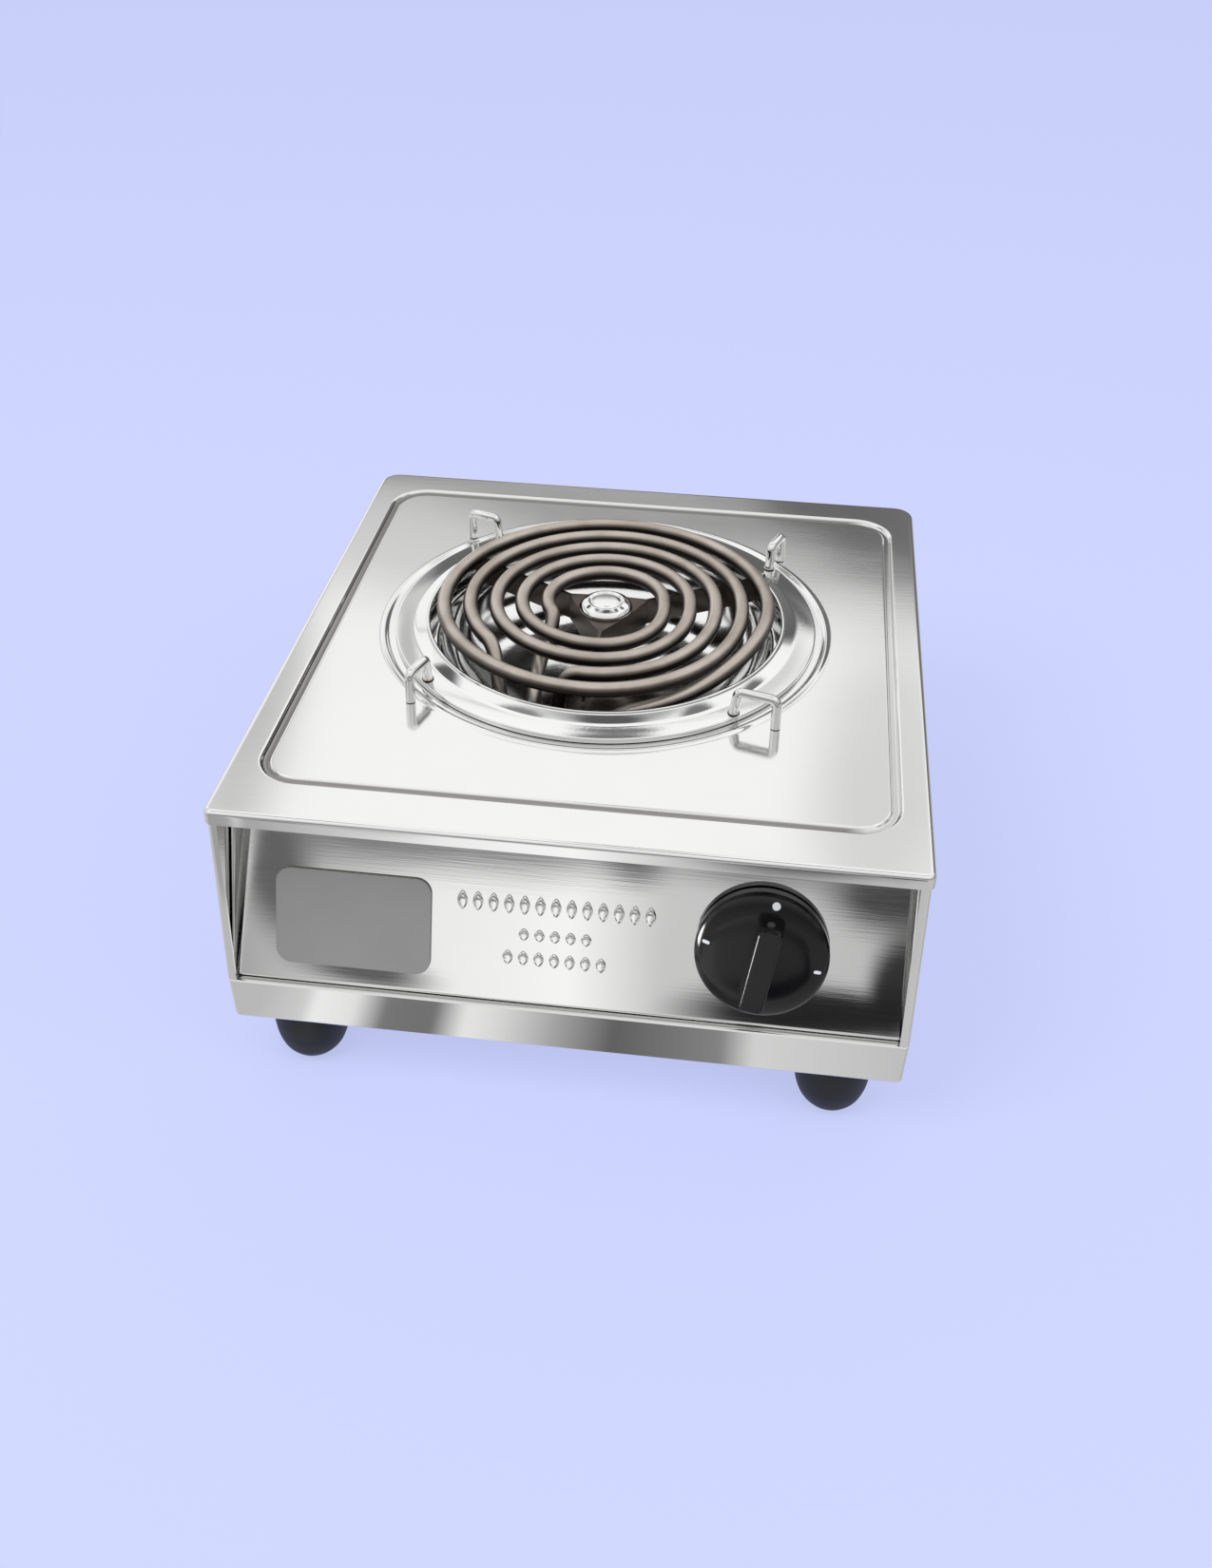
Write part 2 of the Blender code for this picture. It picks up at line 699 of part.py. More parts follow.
def make_body_wrap(body):
    """Two sides and the back in one folded sheet, with a narrow return down each side of the front."""
    corners = (
        (-1, -1, WRAP_FRONT_CORNER, 270),
        (-1, 1, WRAP_BACK_CORNER, 180),
        (1, 1, WRAP_BACK_CORNER, 90),
        (1, -1, WRAP_FRONT_CORNER, 0),
    )
    outer = [(-BODY_HALF_X + WRAP_FLANGE, -BODY_HALF_Y)]
    inner = [(-BODY_HALF_X + WRAP_FLANGE, -BODY_HALF_Y + BODY_SHEET)]
    for x, y, radius, start in corners:
        centre = (x * (BODY_HALF_X - radius), y * (BODY_HALF_Y - radius))
        for k in range(5):
            angle = radians(start - 90 * k / 4)
            reach = radius - BODY_SHEET
            outer.append((centre[0] + radius * cos(angle), centre[1] + radius * sin(angle)))
            inner.append((centre[0] + reach * cos(angle), centre[1] + reach * sin(angle)))
    outer.append((BODY_HALF_X - WRAP_FLANGE, -BODY_HALF_Y))
    inner.append((BODY_HALF_X - WRAP_FLANGE, -BODY_HALF_Y + BODY_SHEET))
    wall = prism(outer + inner[::-1], TRAY_TOP_Z + CLEARANCE, BODY_TOP_Z)
    piece = add("body_wrap", wall, "polished_steel", body)
    drill = prism(circle(GLAND_BARREL_RADIUS + CLEARANCE, ROUND_SIDES), -TOOL_OVERRUN, TOOL_OVERRUN)
    gland_hole = moved(drill, (GLAND_X, BODY_HALF_Y, GLAND_Z), Matrix.Rotation(radians(90), 4, "X"))
    combine(piece, joined([*side_holes(), gland_hole]), "DIFFERENCE", "wrap_drills")


def panel_y(z):
    """Where the leaning front panel's face is at a height."""
    return PANEL_FRONT_Y + (z - PANEL_FOOT_Z) * PANEL_SLOPE


def make_front_panel(body):
    """The recessed front sheet leans back to the plate, with a return folded along each edge."""
    half = BODY_HALF_X - BODY_SHEET - CLEARANCE
    low, high = PANEL_FOOT_Z, PANEL_TOP_Z

    def loop(inset, depth):
        corner = PANEL_FOLD + BODY_SHEET - min(inset, PANEL_FOLD)
        outline = rounded(
            (-half + inset, low + inset),
            (half - inset, high - inset),
            corner,
            corner,
            arc_steps=2,
        )
        return [Vector((x, panel_y(z) + depth, z)) for x, z in outline]

    loops = [
        loop(PANEL_FOLD, 0),
        loop(PANEL_FOLD * 0.3, PANEL_FOLD * 0.3),
        loop(0, PANEL_FOLD),
        loop(0, PANEL_RETURN),
        loop(BODY_SHEET, PANEL_RETURN),
        loop(BODY_SHEET, PANEL_FOLD),
        loop(PANEL_FOLD, BODY_SHEET),
    ]
    piece = add("front_panel", solid(loops), "polished_steel", body)
    bush = SHAFT_RADIUS + 2 * BODY_SHEET
    drills = [prism(circle(bush, ROUND_SIDES), -TOOL_OVERRUN, TOOL_OVERRUN)]
    for side in (-1, 1):
        place = (side * SWITCH_SCREW_SPREAD, 0)
        hole = circle(SCREW_RADIUS + CLEARANCE, SCREW_SIDES, place)
        drills.append(prism(hole, -TOOL_OVERRUN, TOOL_OVERRUN))
    tool = moved(joined(drills), (KNOB_X, KNOB_Y, KNOB_Z), Matrix.Rotation(pi / 2 - PANEL_TILT, 4, "X"))
    combine(piece, tool, "DIFFERENCE", "panel_drills")


def foot_places():
    """The four feet, front left first."""
    x = PLATE_WIDTH / 2 - FOOT_SIDE_INSET
    y = PLATE_DEPTH / 2 - FOOT_FRONT_INSET
    return [(-x, -y), (x, -y), (x, y), (-x, y)]


def make_base_tray(body):
    """Tapered wall, a shelf that carries the body and the panel, and an upstand inside the walls."""
    side_shelf = BODY_SHEET + CLEARANCE
    front_shelf = PANEL_RECESS + PANEL_RETURN + CLEARANCE + TRAY_UPSTAND * PANEL_SLOPE

    def loop(height, side, front=None):
        front = side if front is None else front
        return level(
            rounded(
                (-BODY_HALF_X + side, -BODY_HALF_Y + front),
                (BODY_HALF_X - side, BODY_HALF_Y - side),
                WRAP_FRONT_CORNER,
                WRAP_BACK_CORNER - min(side, WRAP_BACK_CORNER / 2),
            ),
            height,
        )

    loops = [
        loop(FOOT_HEIGHT, TRAY_TAPER + TRAY_FOLD),
        loop(FOOT_HEIGHT + TRAY_FOLD * 0.3, TRAY_TAPER + TRAY_FOLD * 0.3),
        loop(FOOT_HEIGHT + TRAY_FOLD, TRAY_TAPER),
        loop(TRAY_TOP_Z, 0),
        loop(TRAY_TOP_Z, side_shelf, front_shelf),
        loop(TRAY_TOP_Z + TRAY_UPSTAND, side_shelf, front_shelf),
        loop(TRAY_TOP_Z + TRAY_UPSTAND, side_shelf + TRAY_SHEET, front_shelf + TRAY_SHEET),
        loop(TRAY_TOP_Z - TRAY_SHEET, side_shelf + TRAY_SHEET, front_shelf + TRAY_SHEET),
        loop(TRAY_TOP_Z - TRAY_SHEET, TRAY_SHEET),
        loop(FOOT_HEIGHT + TRAY_FOLD, TRAY_TAPER + TRAY_SHEET),
        loop(TRAY_FLOOR_TOP_Z, TRAY_TAPER + TRAY_FOLD),
    ]
    piece = add("base_tray", solid(loops), "polished_steel", body)
    low, high = FOOT_HEIGHT - TOOL_OVERRUN, TRAY_FLOOR_TOP_Z + TOOL_OVERRUN
    tools = side_holes()
    for row in (-1, 1):
        for k in range(VENTS_IN_ROW):
            x = BURNER_X + (k - (VENTS_IN_ROW - 1) / 2) * VENT_PITCH
            outline = slot(VENT_LENGTH, VENT_WIDTH, (x, BURNER_Y + row * VENT_ROW_Y))
            tools.append(prism(outline, low, high))
    screws = [*foot_places(), (GLAND_X, SUPPLY_Y), (EARTH_X, EARTH_Y)]
    for place in screws:
        tools.append(prism(circle(SCREW_RADIUS + CLEARANCE, SCREW_SIDES, place), low, high))
    combine(piece, joined(tools), "DIFFERENCE", "tray_drills")


def make_nameplate(body):
    """A thin plate with round corners on the panel's left, with nothing on it."""
    def loop(inset, depth):
        outline = rounded(
            (-NAMEPLATE_WIDTH / 2 + inset, -NAMEPLATE_HEIGHT / 2 + inset),
            (NAMEPLATE_WIDTH / 2 - inset, NAMEPLATE_HEIGHT / 2 - inset),
            NAMEPLATE_CORNER - inset,
            NAMEPLATE_CORNER - inset,
        )
        return [Vector((x, -depth, z)) for x, z in outline]

    edge = NAMEPLATE_THICKNESS / 3
    plate = solid([loop(0, 0), loop(0, NAMEPLATE_THICKNESS - edge), loop(edge, NAMEPLATE_THICKNESS)])
    x = -PLATE_WIDTH / 2 + NAMEPLATE_SIDE_MARGIN
    z = PLATE_TOP_Z - NAMEPLATE_DROP
    place = (x, panel_y(z) - CLEARANCE * cos(PANEL_TILT), z + CLEARANCE * sin(PANEL_TILT))
    add("nameplate", plate, "nameplate_grey", body, place=place, turn=(-PANEL_TILT, 0, 0))


def bowl_profile(offset):
    """The bowl's section from rim to bottom, its inside for offset 0, its outside for its sheet."""
    top = BOWL_RIM_TOP - offset
    points = [
        (BOWL_RIM_RADIUS, top),
        (BOWL_NECK_RADIUS + offset, top),
        (BOWL_NECK_RADIUS + offset, -BOWL_LEDGE_DROP - offset),
        (BOWL_LEDGE_RADIUS + offset, -BOWL_LEDGE_DROP - offset),
    ]
    for radius_share, depth_share in BOWL_WALL_SHARES:
        depth = BOWL_LEDGE_DROP + (BOWL_DEPTH - BOWL_LEDGE_DROP) * depth_share
        points.append((BOWL_LEDGE_RADIUS * radius_share + offset, -depth - offset))
    points.append((0, -BOWL_DEPTH - offset))
    return points


def make_drip_bowl(burner):
    """Polished bowl whose rim rests on the plate, with a ledge for the spider and two tail windows."""
    profile = bowl_profile(0)[::-1] + bowl_profile(BOWL_SHEET)
    piece = add("drip_bowl", turned(profile, BOWL_SIDES), "polished_steel", burner)
    front = -BOWL_LEDGE_RADIUS - WINDOW_FRONT_OVERRUN
    back = -TAIL_FORWARD + WINDOW_BACK_REACH
    high = -BOWL_LEDGE_DROP / 2
    low = -BOWL_DEPTH - TOOL_OVERRUN
    left = OUTER_END_TAIL_X - WINDOW_SIDE_MARGIN
    right = OUTER_START_TAIL_X + WINDOW_SIDE_MARGIN
    windows = [
        box((left, front, low), (-WINDOW_WEB / 2, back, high)),
        box((WINDOW_WEB / 2, front, low), (right, back, high)),
    ]
    combine(piece, joined(windows), "DIFFERENCE", "bowl_windows")


def make_pan_ring(burner):
    """A low flange over the bowl's rim and a steep collar round the coils, with a rolled top edge."""
    under = BOWL_RIM_TOP + CLEARANCE
    over = under + RING_SHEET
    profile = (
        (RING_RADIUS, CLEARANCE),
        (RING_RADIUS, over - RING_BEND),
        (RING_RADIUS - RING_BEND, over),
        (RING_COLLAR_FOOT + RING_BEND, over + RING_FLANGE_SLOPE),
        (RING_COLLAR_FOOT - RING_BEND * 0.6, over + RING_FLANGE_SLOPE + RING_BEND),
        (RING_BORE_RADIUS + 2 * RING_BEND, RING_HEIGHT - RING_BEND),
        (RING_BORE_RADIUS + RING_BEND, RING_HEIGHT),
        (RING_BORE_RADIUS + RING_BEND * 0.3, RING_HEIGHT - RING_BEND * 0.3),
        (RING_BORE_RADIUS, RING_HEIGHT - RING_BEND),
        (RING_BORE_RADIUS + RING_BEND * 0.5, RING_HEIGHT - 2 * RING_BEND),
        (RING_COLLAR_FOOT - RING_BEND - RING_SHEET, under + RING_FLANGE_SLOPE + RING_BEND),
        (RING_COLLAR_FOOT, under + RING_FLANGE_SLOPE),
        (RING_RADIUS - RING_SHEET, under),
        (RING_RADIUS - RING_SHEET, CLEARANCE),
    )
    add("pan_ring", turned(profile, RING_SIDES, ring=True), "polished_steel", burner)


def make_pan_supports(burner):
    """Bent wires, each with its short end on the ring's flange and a leg that stands on the plate."""
    flange_top = BOWL_RIM_TOP + CLEARANCE + RING_SHEET + RING_FLANGE_SLOPE
    end_radius = RING_RADIUS - SUPPORT_END_INSET
    inward = Vector((-cos(SUPPORT_TURN), -sin(SUPPORT_TURN), 0))
    for k, (angle, space) in enumerate(zip(SUPPORT_ANGLES, SUPPORT_LEG_SPACES)):
        leg_radius = RIB_RADIUS + RIB_HALF_WIDTH + space + SUPPORT_WIRE / 2
        aside = leg_radius * sin(SUPPORT_TURN)
        reach = leg_radius * cos(SUPPORT_TURN) - (end_radius**2 - aside**2) ** 0.5
        leg = Vector((leg_radius, 0, 0))
        points = [
            leg + Vector((0, 0, CLEARANCE)),
            leg + Vector((0, 0, SUPPORT_ARM_HEIGHT)),
            leg + inward * (reach - SUPPORT_SLANT) + Vector((0, 0, SUPPORT_ARM_HEIGHT)),
            leg + inward * reach + Vector((0, 0, flange_top + 2 * CLEARANCE)),
        ]
        path = rounded_path(points, SUPPORT_BEND, steps=3)
        name = f"pan_support_{k + 1}"
        add(name, tube(name, path, SUPPORT_WIRE, 2), "polished_steel", burner, turn=(0, 0, angle))


def eased(share):
    """0 to 1 with a soft start and end, and held outside that."""
    held = min(max(share, 0), 1)
    return held * held * (3 - 2 * held)


def steps_inward(turns):
    """How many pitches a winding has stepped in, each step in the quarter just after the front."""
    return floor(turns) + eased((turns - floor(turns)) / COIL_STEP_SHARE)


def on_coil(turns, radius, drop=0):
    """A point of a winding, counted in turns from the front, anticlockwise from above."""
    angle = 2 * pi * turns - pi / 2
    return Vector((radius * cos(angle), radius * sin(angle), -drop))


def along_coil(turns):
    """The direction of a winding there."""
    angle = 2 * pi * turns - pi / 2
    return Vector((-sin(angle), cos(angle), 0))


def outer_point(turns):
    """The outer heater: its first turn rises from under the front, its second lies one pitch in."""
    radius = COIL_RADIUS + COIL_PITCH - COIL_PITCH * max(1, steps_inward(turns))
    return on_coil(turns, radius, OUTER_START_DROP * (1 - eased(turns / OUTER_RISE_SHARE)))


def inner_point(turns):
    """The inner heater: three turns inside the outer heater's two."""
    return on_coil(turns, COIL_RADIUS - COIL_PITCH - COIL_PITCH * steps_inward(turns))


def winding(point, first, last):
    """Points of a winding from one count of turns to another, LOOP_POINTS to a turn."""
    count = round((last - first) * LOOP_POINTS)
    return [point(first + (last - first) * k / count) for k in range(count + 1)]


def tail(start, direction, x):
    """A tube end that leaves the coil and turns straight down to its terminal."""
    end = Vector((x, -TAIL_FORWARD, -TAIL_DROP))
    low = end + Vector((0, 0, TUBE_DIAMETER))
    curve = bezier(
        start,
        start + direction * TAIL_START_HANDLE,
        low + Vector((0, 0, TAIL_END_HANDLE)),
        low,
        TAIL_POINTS,
    )
    return curve + [end]


def make_heaters(element):
    """Both tubular heaters: windings with 24 points to a loop, and tails down to the terminals."""
    outer = winding(outer_point, OUTER_START_TURN, OUTER_END_TURN)
    slope = (outer[0] - outer[1]).normalized()
    outer = tail(outer[0], slope, OUTER_START_TAIL_X)[::-1] + outer
    outer += tail(outer[-1], along_coil(OUTER_END_TURN), OUTER_END_TAIL_X)

    inner = winding(inner_point, INNER_START_TURN, INNER_END_TURN)
    inner = tail(inner[0], -along_coil(INNER_START_TURN), INNER_START_TAIL_X)[::-1] + inner
    dive = Vector((INNER_END_TAIL_X, -INNER_DIVE_FORWARD, -INNER_DIVE_DROP))
    forward = Vector((0, -1, 0))
    last = inner[-1]
    inner += bezier(
        last,
        last + along_coil(INNER_END_TURN) * TAIL_START_HANDLE / 2,
        dive - forward * TAIL_START_HANDLE,
        dive,
        TAIL_POINTS,
    )
    inner += tail(dive, forward, INNER_END_TAIL_X)

    add("outer_heater_tube", tube("outer_heater_tube", outer, TUBE_DIAMETER, 1), "heater_sheath", element)
    add("inner_heater_tube", tube("inner_heater_tube", inner, TUBE_DIAMETER, 1), "heater_sheath", element)
    near = ceil(2 * pi * COIL_RADIUS / LOOP_POINTS / TUBE_DIAMETER) * 4
    for name, a, b in (("outer", outer, outer), ("inner", inner, inner), ("both", outer, inner)):
        gap = least_gap(a, b, TUBE_DIAMETER, near)
        print(f"least gap of the heater tubes, {name}: {gap * 1000:.2f} mm")


def make_spider(burner):
    """Three arms on edge, from the bowl's ledge to a three-cornered hub under the medallion."""
    outline = []
    reach = BOWL_LEDGE_RADIUS + ARM_REST
    for k in range(ARMS):
        angle = radians(-90 + 360 / ARMS * k)
        along = Vector((cos(angle), sin(angle)))
        across = Vector((-along.y, along.x)) * ARM_THICKNESS / 2
        outline += [
            along * HUB_CORNER_RADIUS - across,
            along * reach - across,
            along * reach + across,
            along * HUB_CORNER_RADIUS + across,
        ]
        between = angle + pi / ARMS
        outline.append(Vector((cos(between), sin(between))) * HUB_RADIUS)
    low = ARM_BOTTOM_Z - SURFACE_Z
    high = ARM_TOP_Z - SURFACE_Z
    piece = add("element_spider", prism([tuple(p) for p in outline], low, high), "bracket_steel", burner)
    hole = circle(MEDALLION_SCREW_RADIUS + CLEARANCE, SCREW_SIDES)
    drill = prism(hole, low - TOOL_OVERRUN, high + TOOL_OVERRUN)
    combine(piece, drill, "DIFFERENCE", "hub_drill")


def make_medallion(burner):
    """A domed disc over the hub, held from below by a screw."""
    low = ARM_TOP_Z - SURFACE_Z + CLEARANCE
    bore = MEDALLION_SCREW_RADIUS + CLEARANCE
    bore_top = low + MEDALLION_HEIGHT * 0.55
    profile = (
        (0, low + MEDALLION_HEIGHT),
        (MEDALLION_RADIUS * 0.35, low + MEDALLION_HEIGHT * 0.97),
        (MEDALLION_RADIUS * 0.68, low + MEDALLION_HEIGHT * 0.82),
        (MEDALLION_RADIUS * 0.90, low + MEDALLION_HEIGHT * 0.58),
        (MEDALLION_RADIUS, low + MEDALLION_EDGE),
        (MEDALLION_RADIUS, low),
        (bore, low),
        (bore, bore_top),
        (0, bore_top),
    )
    add("centre_medallion", turned(profile, MEDALLION_SIDES), "polished_steel", burner)
    length = MEDALLION_HEIGHT * 0.45 + ARM_TOP_Z - ARM_BOTTOM_Z + 2 * CLEARANCE
    under = screw(MEDALLION_SCREW_HEAD_RADIUS, MEDALLION_SCREW_HEAD, MEDALLION_SCREW_RADIUS, length)
    place = (0, 0, ARM_BOTTOM_Z - SURFACE_Z - CLEARANCE)
    add("medallion_screw", under, "bracket_steel", burner, place=place, turn=(pi, 0, 0))


def make_terminals(body):
    """A ceramic bead and a pin on each tube end, and the block that the pins go into."""
    bead = (
        (PIN_RADIUS + CLEARANCE, 0),
        (TERMINAL_BEAD_RADIUS, 0),
        (TERMINAL_BEAD_RADIUS, -TERMINAL_BEAD_LENGTH * 0.7),
        (TERMINAL_BEAD_RADIUS * 0.75, -TERMINAL_BEAD_LENGTH),
        (PIN_RADIUS + CLEARANCE, -TERMINAL_BEAD_LENGTH),
    )
    pin_length = TERMINAL_BEAD_LENGTH + CLEARANCE + PIN_DEPTH
    for k, x in enumerate(TAIL_XS):
        place = (x, TAIL_Y, TAIL_Z - CLEARANCE)
        add(f"terminal_bead_{k + 1}", turned(bead, BEAD_SIDES, ring=True), "ceramic", body, place=place)
        pin = prism(circle(PIN_RADIUS, SCREW_SIDES), -pin_length, 0)
        add(f"terminal_pin_{k + 1}", pin, "bracket_steel", body, place=place)

    low = BLOCK_TOP_Z - BLOCK_HEIGHT
    outline = rounded(
        (BLOCK_LEFT, TAIL_Y - BLOCK_DEPTH / 2),
        (BLOCK_RIGHT, TAIL_Y + BLOCK_DEPTH / 2),
        BLOCK_CORNER,
        BLOCK_CORNER,
        arc_steps=2,
    )
    block = add("terminal_block", prism(outline, low, BLOCK_TOP_Z), "ceramic", body)
    sockets = [
        prism(
            circle(PIN_RADIUS + CLEARANCE, SCREW_SIDES, (x, TAIL_Y)),
            BLOCK_TOP_Z - PIN_DEPTH - CLEARANCE,
            BLOCK_TOP_Z + TOOL_OVERRUN,
        )
        for x in TAIL_XS
    ]
    screw_xs = (BLOCK_LEFT + BLOCK_SCREW_INSET, BLOCK_RIGHT - BLOCK_SCREW_INSET)
    for x in screw_xs:
        hole = circle(SCREW_RADIUS + CLEARANCE, SCREW_SIDES, (x, TAIL_Y))
        sockets.append(prism(hole, low - TOOL_OVERRUN, BLOCK_TOP_Z + TOOL_OVERRUN))
    combine(block, joined(sockets), "DIFFERENCE", "block_drills")

    top = low - CLEARANCE
    floor_top = TRAY_FLOOR_TOP_Z + CLEARANCE
    back = TAIL_Y + BLOCK_DEPTH / 2
    path = [
        (TAIL_Y - BLOCK_DEPTH / 2, top),
        (back, top),
        (back, floor_top + BRACKET_SHEET),
        (back + BRACKET_FOOT, floor_top + BRACKET_SHEET),
    ]
    path = [(y, z) for y, z in path]
    edge = strip(path[::-1], BRACKET_SHEET)
    loops = [[Vector((x, y, z)) for y, z in edge] for x in (BLOCK_LEFT, BLOCK_RIGHT)]
    bracket = add("block_bracket", solid(loops), "bracket_steel", body)
    drills = [
        prism(
            circle(SCREW_RADIUS + CLEARANCE, SCREW_SIDES, (x, TAIL_Y)),
            top - BRACKET_SHEET - TOOL_OVERRUN,
            top + TOOL_OVERRUN,
        )
        for x in screw_xs
    ]
    combine(bracket, joined(drills), "DIFFERENCE", "bracket_drills")
    for k, x in enumerate(screw_xs):
        length = BLOCK_HEIGHT + 2 * BRACKET_SHEET + 2 * CLEARANCE
        shape = screw(SCREW_HEAD_RADIUS, SCREW_HEAD, SCREW_RADIUS, length)
        place = (x, TAIL_Y, BLOCK_TOP_Z + CLEARANCE)
        add(f"block_screw_{k + 1}", shape, "bracket_steel", body, place=place)


def shaft_outline(extra):
    """A round shaft with a flat, made larger by a clearance for its bore."""
    radius = SHAFT_RADIUS + extra
    limit = SHAFT_RADIUS - SHAFT_FLAT + extra
    return [(min(x, limit), y) for x, y in circle(radius, ROUND_SIDES)]


def grip_loop(taper, inset, height):
    """The bar grip's outline, from its base for taper 0 to its top for taper 1."""
    length = GRIP_BASE_LENGTH + (GRIP_TOP_LENGTH - GRIP_BASE_LENGTH) * taper - 2 * inset
    width = GRIP_BASE_WIDTH + (GRIP_TOP_WIDTH - GRIP_BASE_WIDTH) * taper - 2 * inset
    corner = GRIP_CORNER - inset
    return level(rounded((-width / 2, -length / 2), (width / 2, length / 2), corner, corner, arc_steps=3), height)


def front_reach():
    """How far forward of the plate's middle the leaning knob's grip reaches."""
    stand = Matrix.Rotation(pi / 2 - PANEL_TILT, 3, "X") @ Matrix.Rotation(KNOB_REST_ANGLE, 3, "Z")
    edge = grip_loop(1, 0, KNOB_TOP - GRIP_ROUND) + grip_loop(1, GRIP_ROUND, KNOB_TOP)
    return -KNOB_Y - min((stand @ point).y for point in edge)


def make_knob(axis):
    """A skirt with a domed face, hollow behind, with a straight bar grip across it."""
    back = KNOB_STAND_OFF
    face = back + KNOB_SKIRT
    profile = [(KNOB_RADIUS * radius, face + KNOB_CROWN * rise) for radius, rise in KNOB_CROWN_SHARES]
    profile += [
        (KNOB_RADIUS - KNOB_ROUND, face),
        (KNOB_RADIUS, face - KNOB_ROUND),
        (KNOB_RADIUS, back),
        (KNOB_CAVITY_RADIUS, back),
        (KNOB_CAVITY_RADIUS, back + KNOB_CAVITY_DEPTH),
        (KNOB_BOSS_RADIUS, back + KNOB_CAVITY_DEPTH),
        (KNOB_BOSS_RADIUS, back),
        (0, back),
    ]
    turn = (0, 0, KNOB_REST_ANGLE)
    piece = add("control_knob", turned(profile, KNOB_SIDES), "black_knob", axis, turn=turn)

    grip = solid([grip_loop(0, 0, face), grip_loop(1, 0, KNOB_TOP - GRIP_ROUND), grip_loop(1, GRIP_ROUND, KNOB_TOP)])
    combine(piece, grip, "UNION", "knob_grip")
    bore = prism(shaft_outline(CLEARANCE), back - TOOL_OVERRUN, SHAFT_IN_KNOB + CLEARANCE)
    combine(piece, bore, "DIFFERENCE", "knob_bore")


def cam_outline():
    """A cam with four dips, one for each setting."""
    points = []
    for k in range(CAM_SIDES):
        angle = 2 * pi * k / CAM_SIDES
        radius = CAM_RADIUS - CAM_DIP * max(0, cos(SWITCH_SETTINGS * angle)) ** 2
        points.append((radius * cos(angle), radius * sin(angle)))
    return points


def make_switch(axis):
    """Body, cam, cover with four tabs, shaft and two screws, behind the panel on the knob's axis."""
    front = -BODY_SHEET - CLEARANCE
    back = front - SWITCH_DEPTH

    def loop(inset, height):
        reach = SWITCH_HALF - inset
        corner = SWITCH_CORNER - inset / 2
        return level(rounded((-reach, -reach), (reach, reach), corner, corner, arc_steps=2), height)

    shell = solid(
        [loop(0, front), loop(0, back), loop(SWITCH_WALL, back), loop(SWITCH_WALL, front - SWITCH_WALL)]
    )
    body = add("switch_body", shell, "phenolic", axis)
    drills = [prism(circle(SHAFT_RADIUS + RUNNING_CLEARANCE, ROUND_SIDES), front - 2 * SWITCH_WALL, TOOL_OVERRUN)]
    for side in (-1, 1):
        hole = circle(SCREW_RADIUS + CLEARANCE, SCREW_SIDES, (side * SWITCH_SCREW_SPREAD, 0))
        drills.append(prism(hole, front - 2 * SWITCH_WALL, TOOL_OVERRUN))
    combine(body, joined(drills), "DIFFERENCE", "switch_drills")

    cover_front = back - CLEARANCE
    cover_back = cover_front - COVER_THICKNESS
    cover = add(
        "switch_cover",
        solid([loop(0, cover_front), loop(0, cover_back)]),
        "ceramic",
        axis,
    )
    tabs = []
    for x in (-TAB_SPREAD, TAB_SPREAD):
        for y in (-TAB_SPREAD, TAB_SPREAD):
            low = (x - TAB_WIDTH / 2, y - TAB_THICKNESS / 2, cover_back - TAB_LENGTH)
            high = (x + TAB_WIDTH / 2, y + TAB_THICKNESS / 2, cover_back + COVER_THICKNESS / 2)
            tabs.append(box(low, high))
    combine(cover, joined(tabs), "UNION", "cover_tabs")

    turn = (0, 0, KNOB_REST_ANGLE)
    cam_top = front - SWITCH_WALL - CAM_SETBACK
    shaft_back = cam_top - CAM_LENGTH
    shaft = prism(shaft_outline(0), shaft_back, SHAFT_IN_KNOB)
    add("switch_shaft", shaft, "brass", axis, turn=turn)
    cam = add("switch_cam", prism(cam_outline(), shaft_back, cam_top), "phenolic", axis, turn=turn)
    bore = prism(shaft_outline(CLEARANCE), shaft_back - TOOL_OVERRUN, cam_top + TOOL_OVERRUN)
    combine(cam, bore, "DIFFERENCE", "cam_bore")
    for k, side in enumerate((-1, 1)):
        place = (side * SWITCH_SCREW_SPREAD, 0, CLEARANCE)
        length = BODY_SHEET + SWITCH_WALL + 4 * CLEARANCE
        shape = screw(SCREW_HEAD_RADIUS, SCREW_HEAD * 0.8, SCREW_RADIUS, length)
        add(f"switch_screw_{k + 1}", shape, "bracket_steel", axis, place=place)


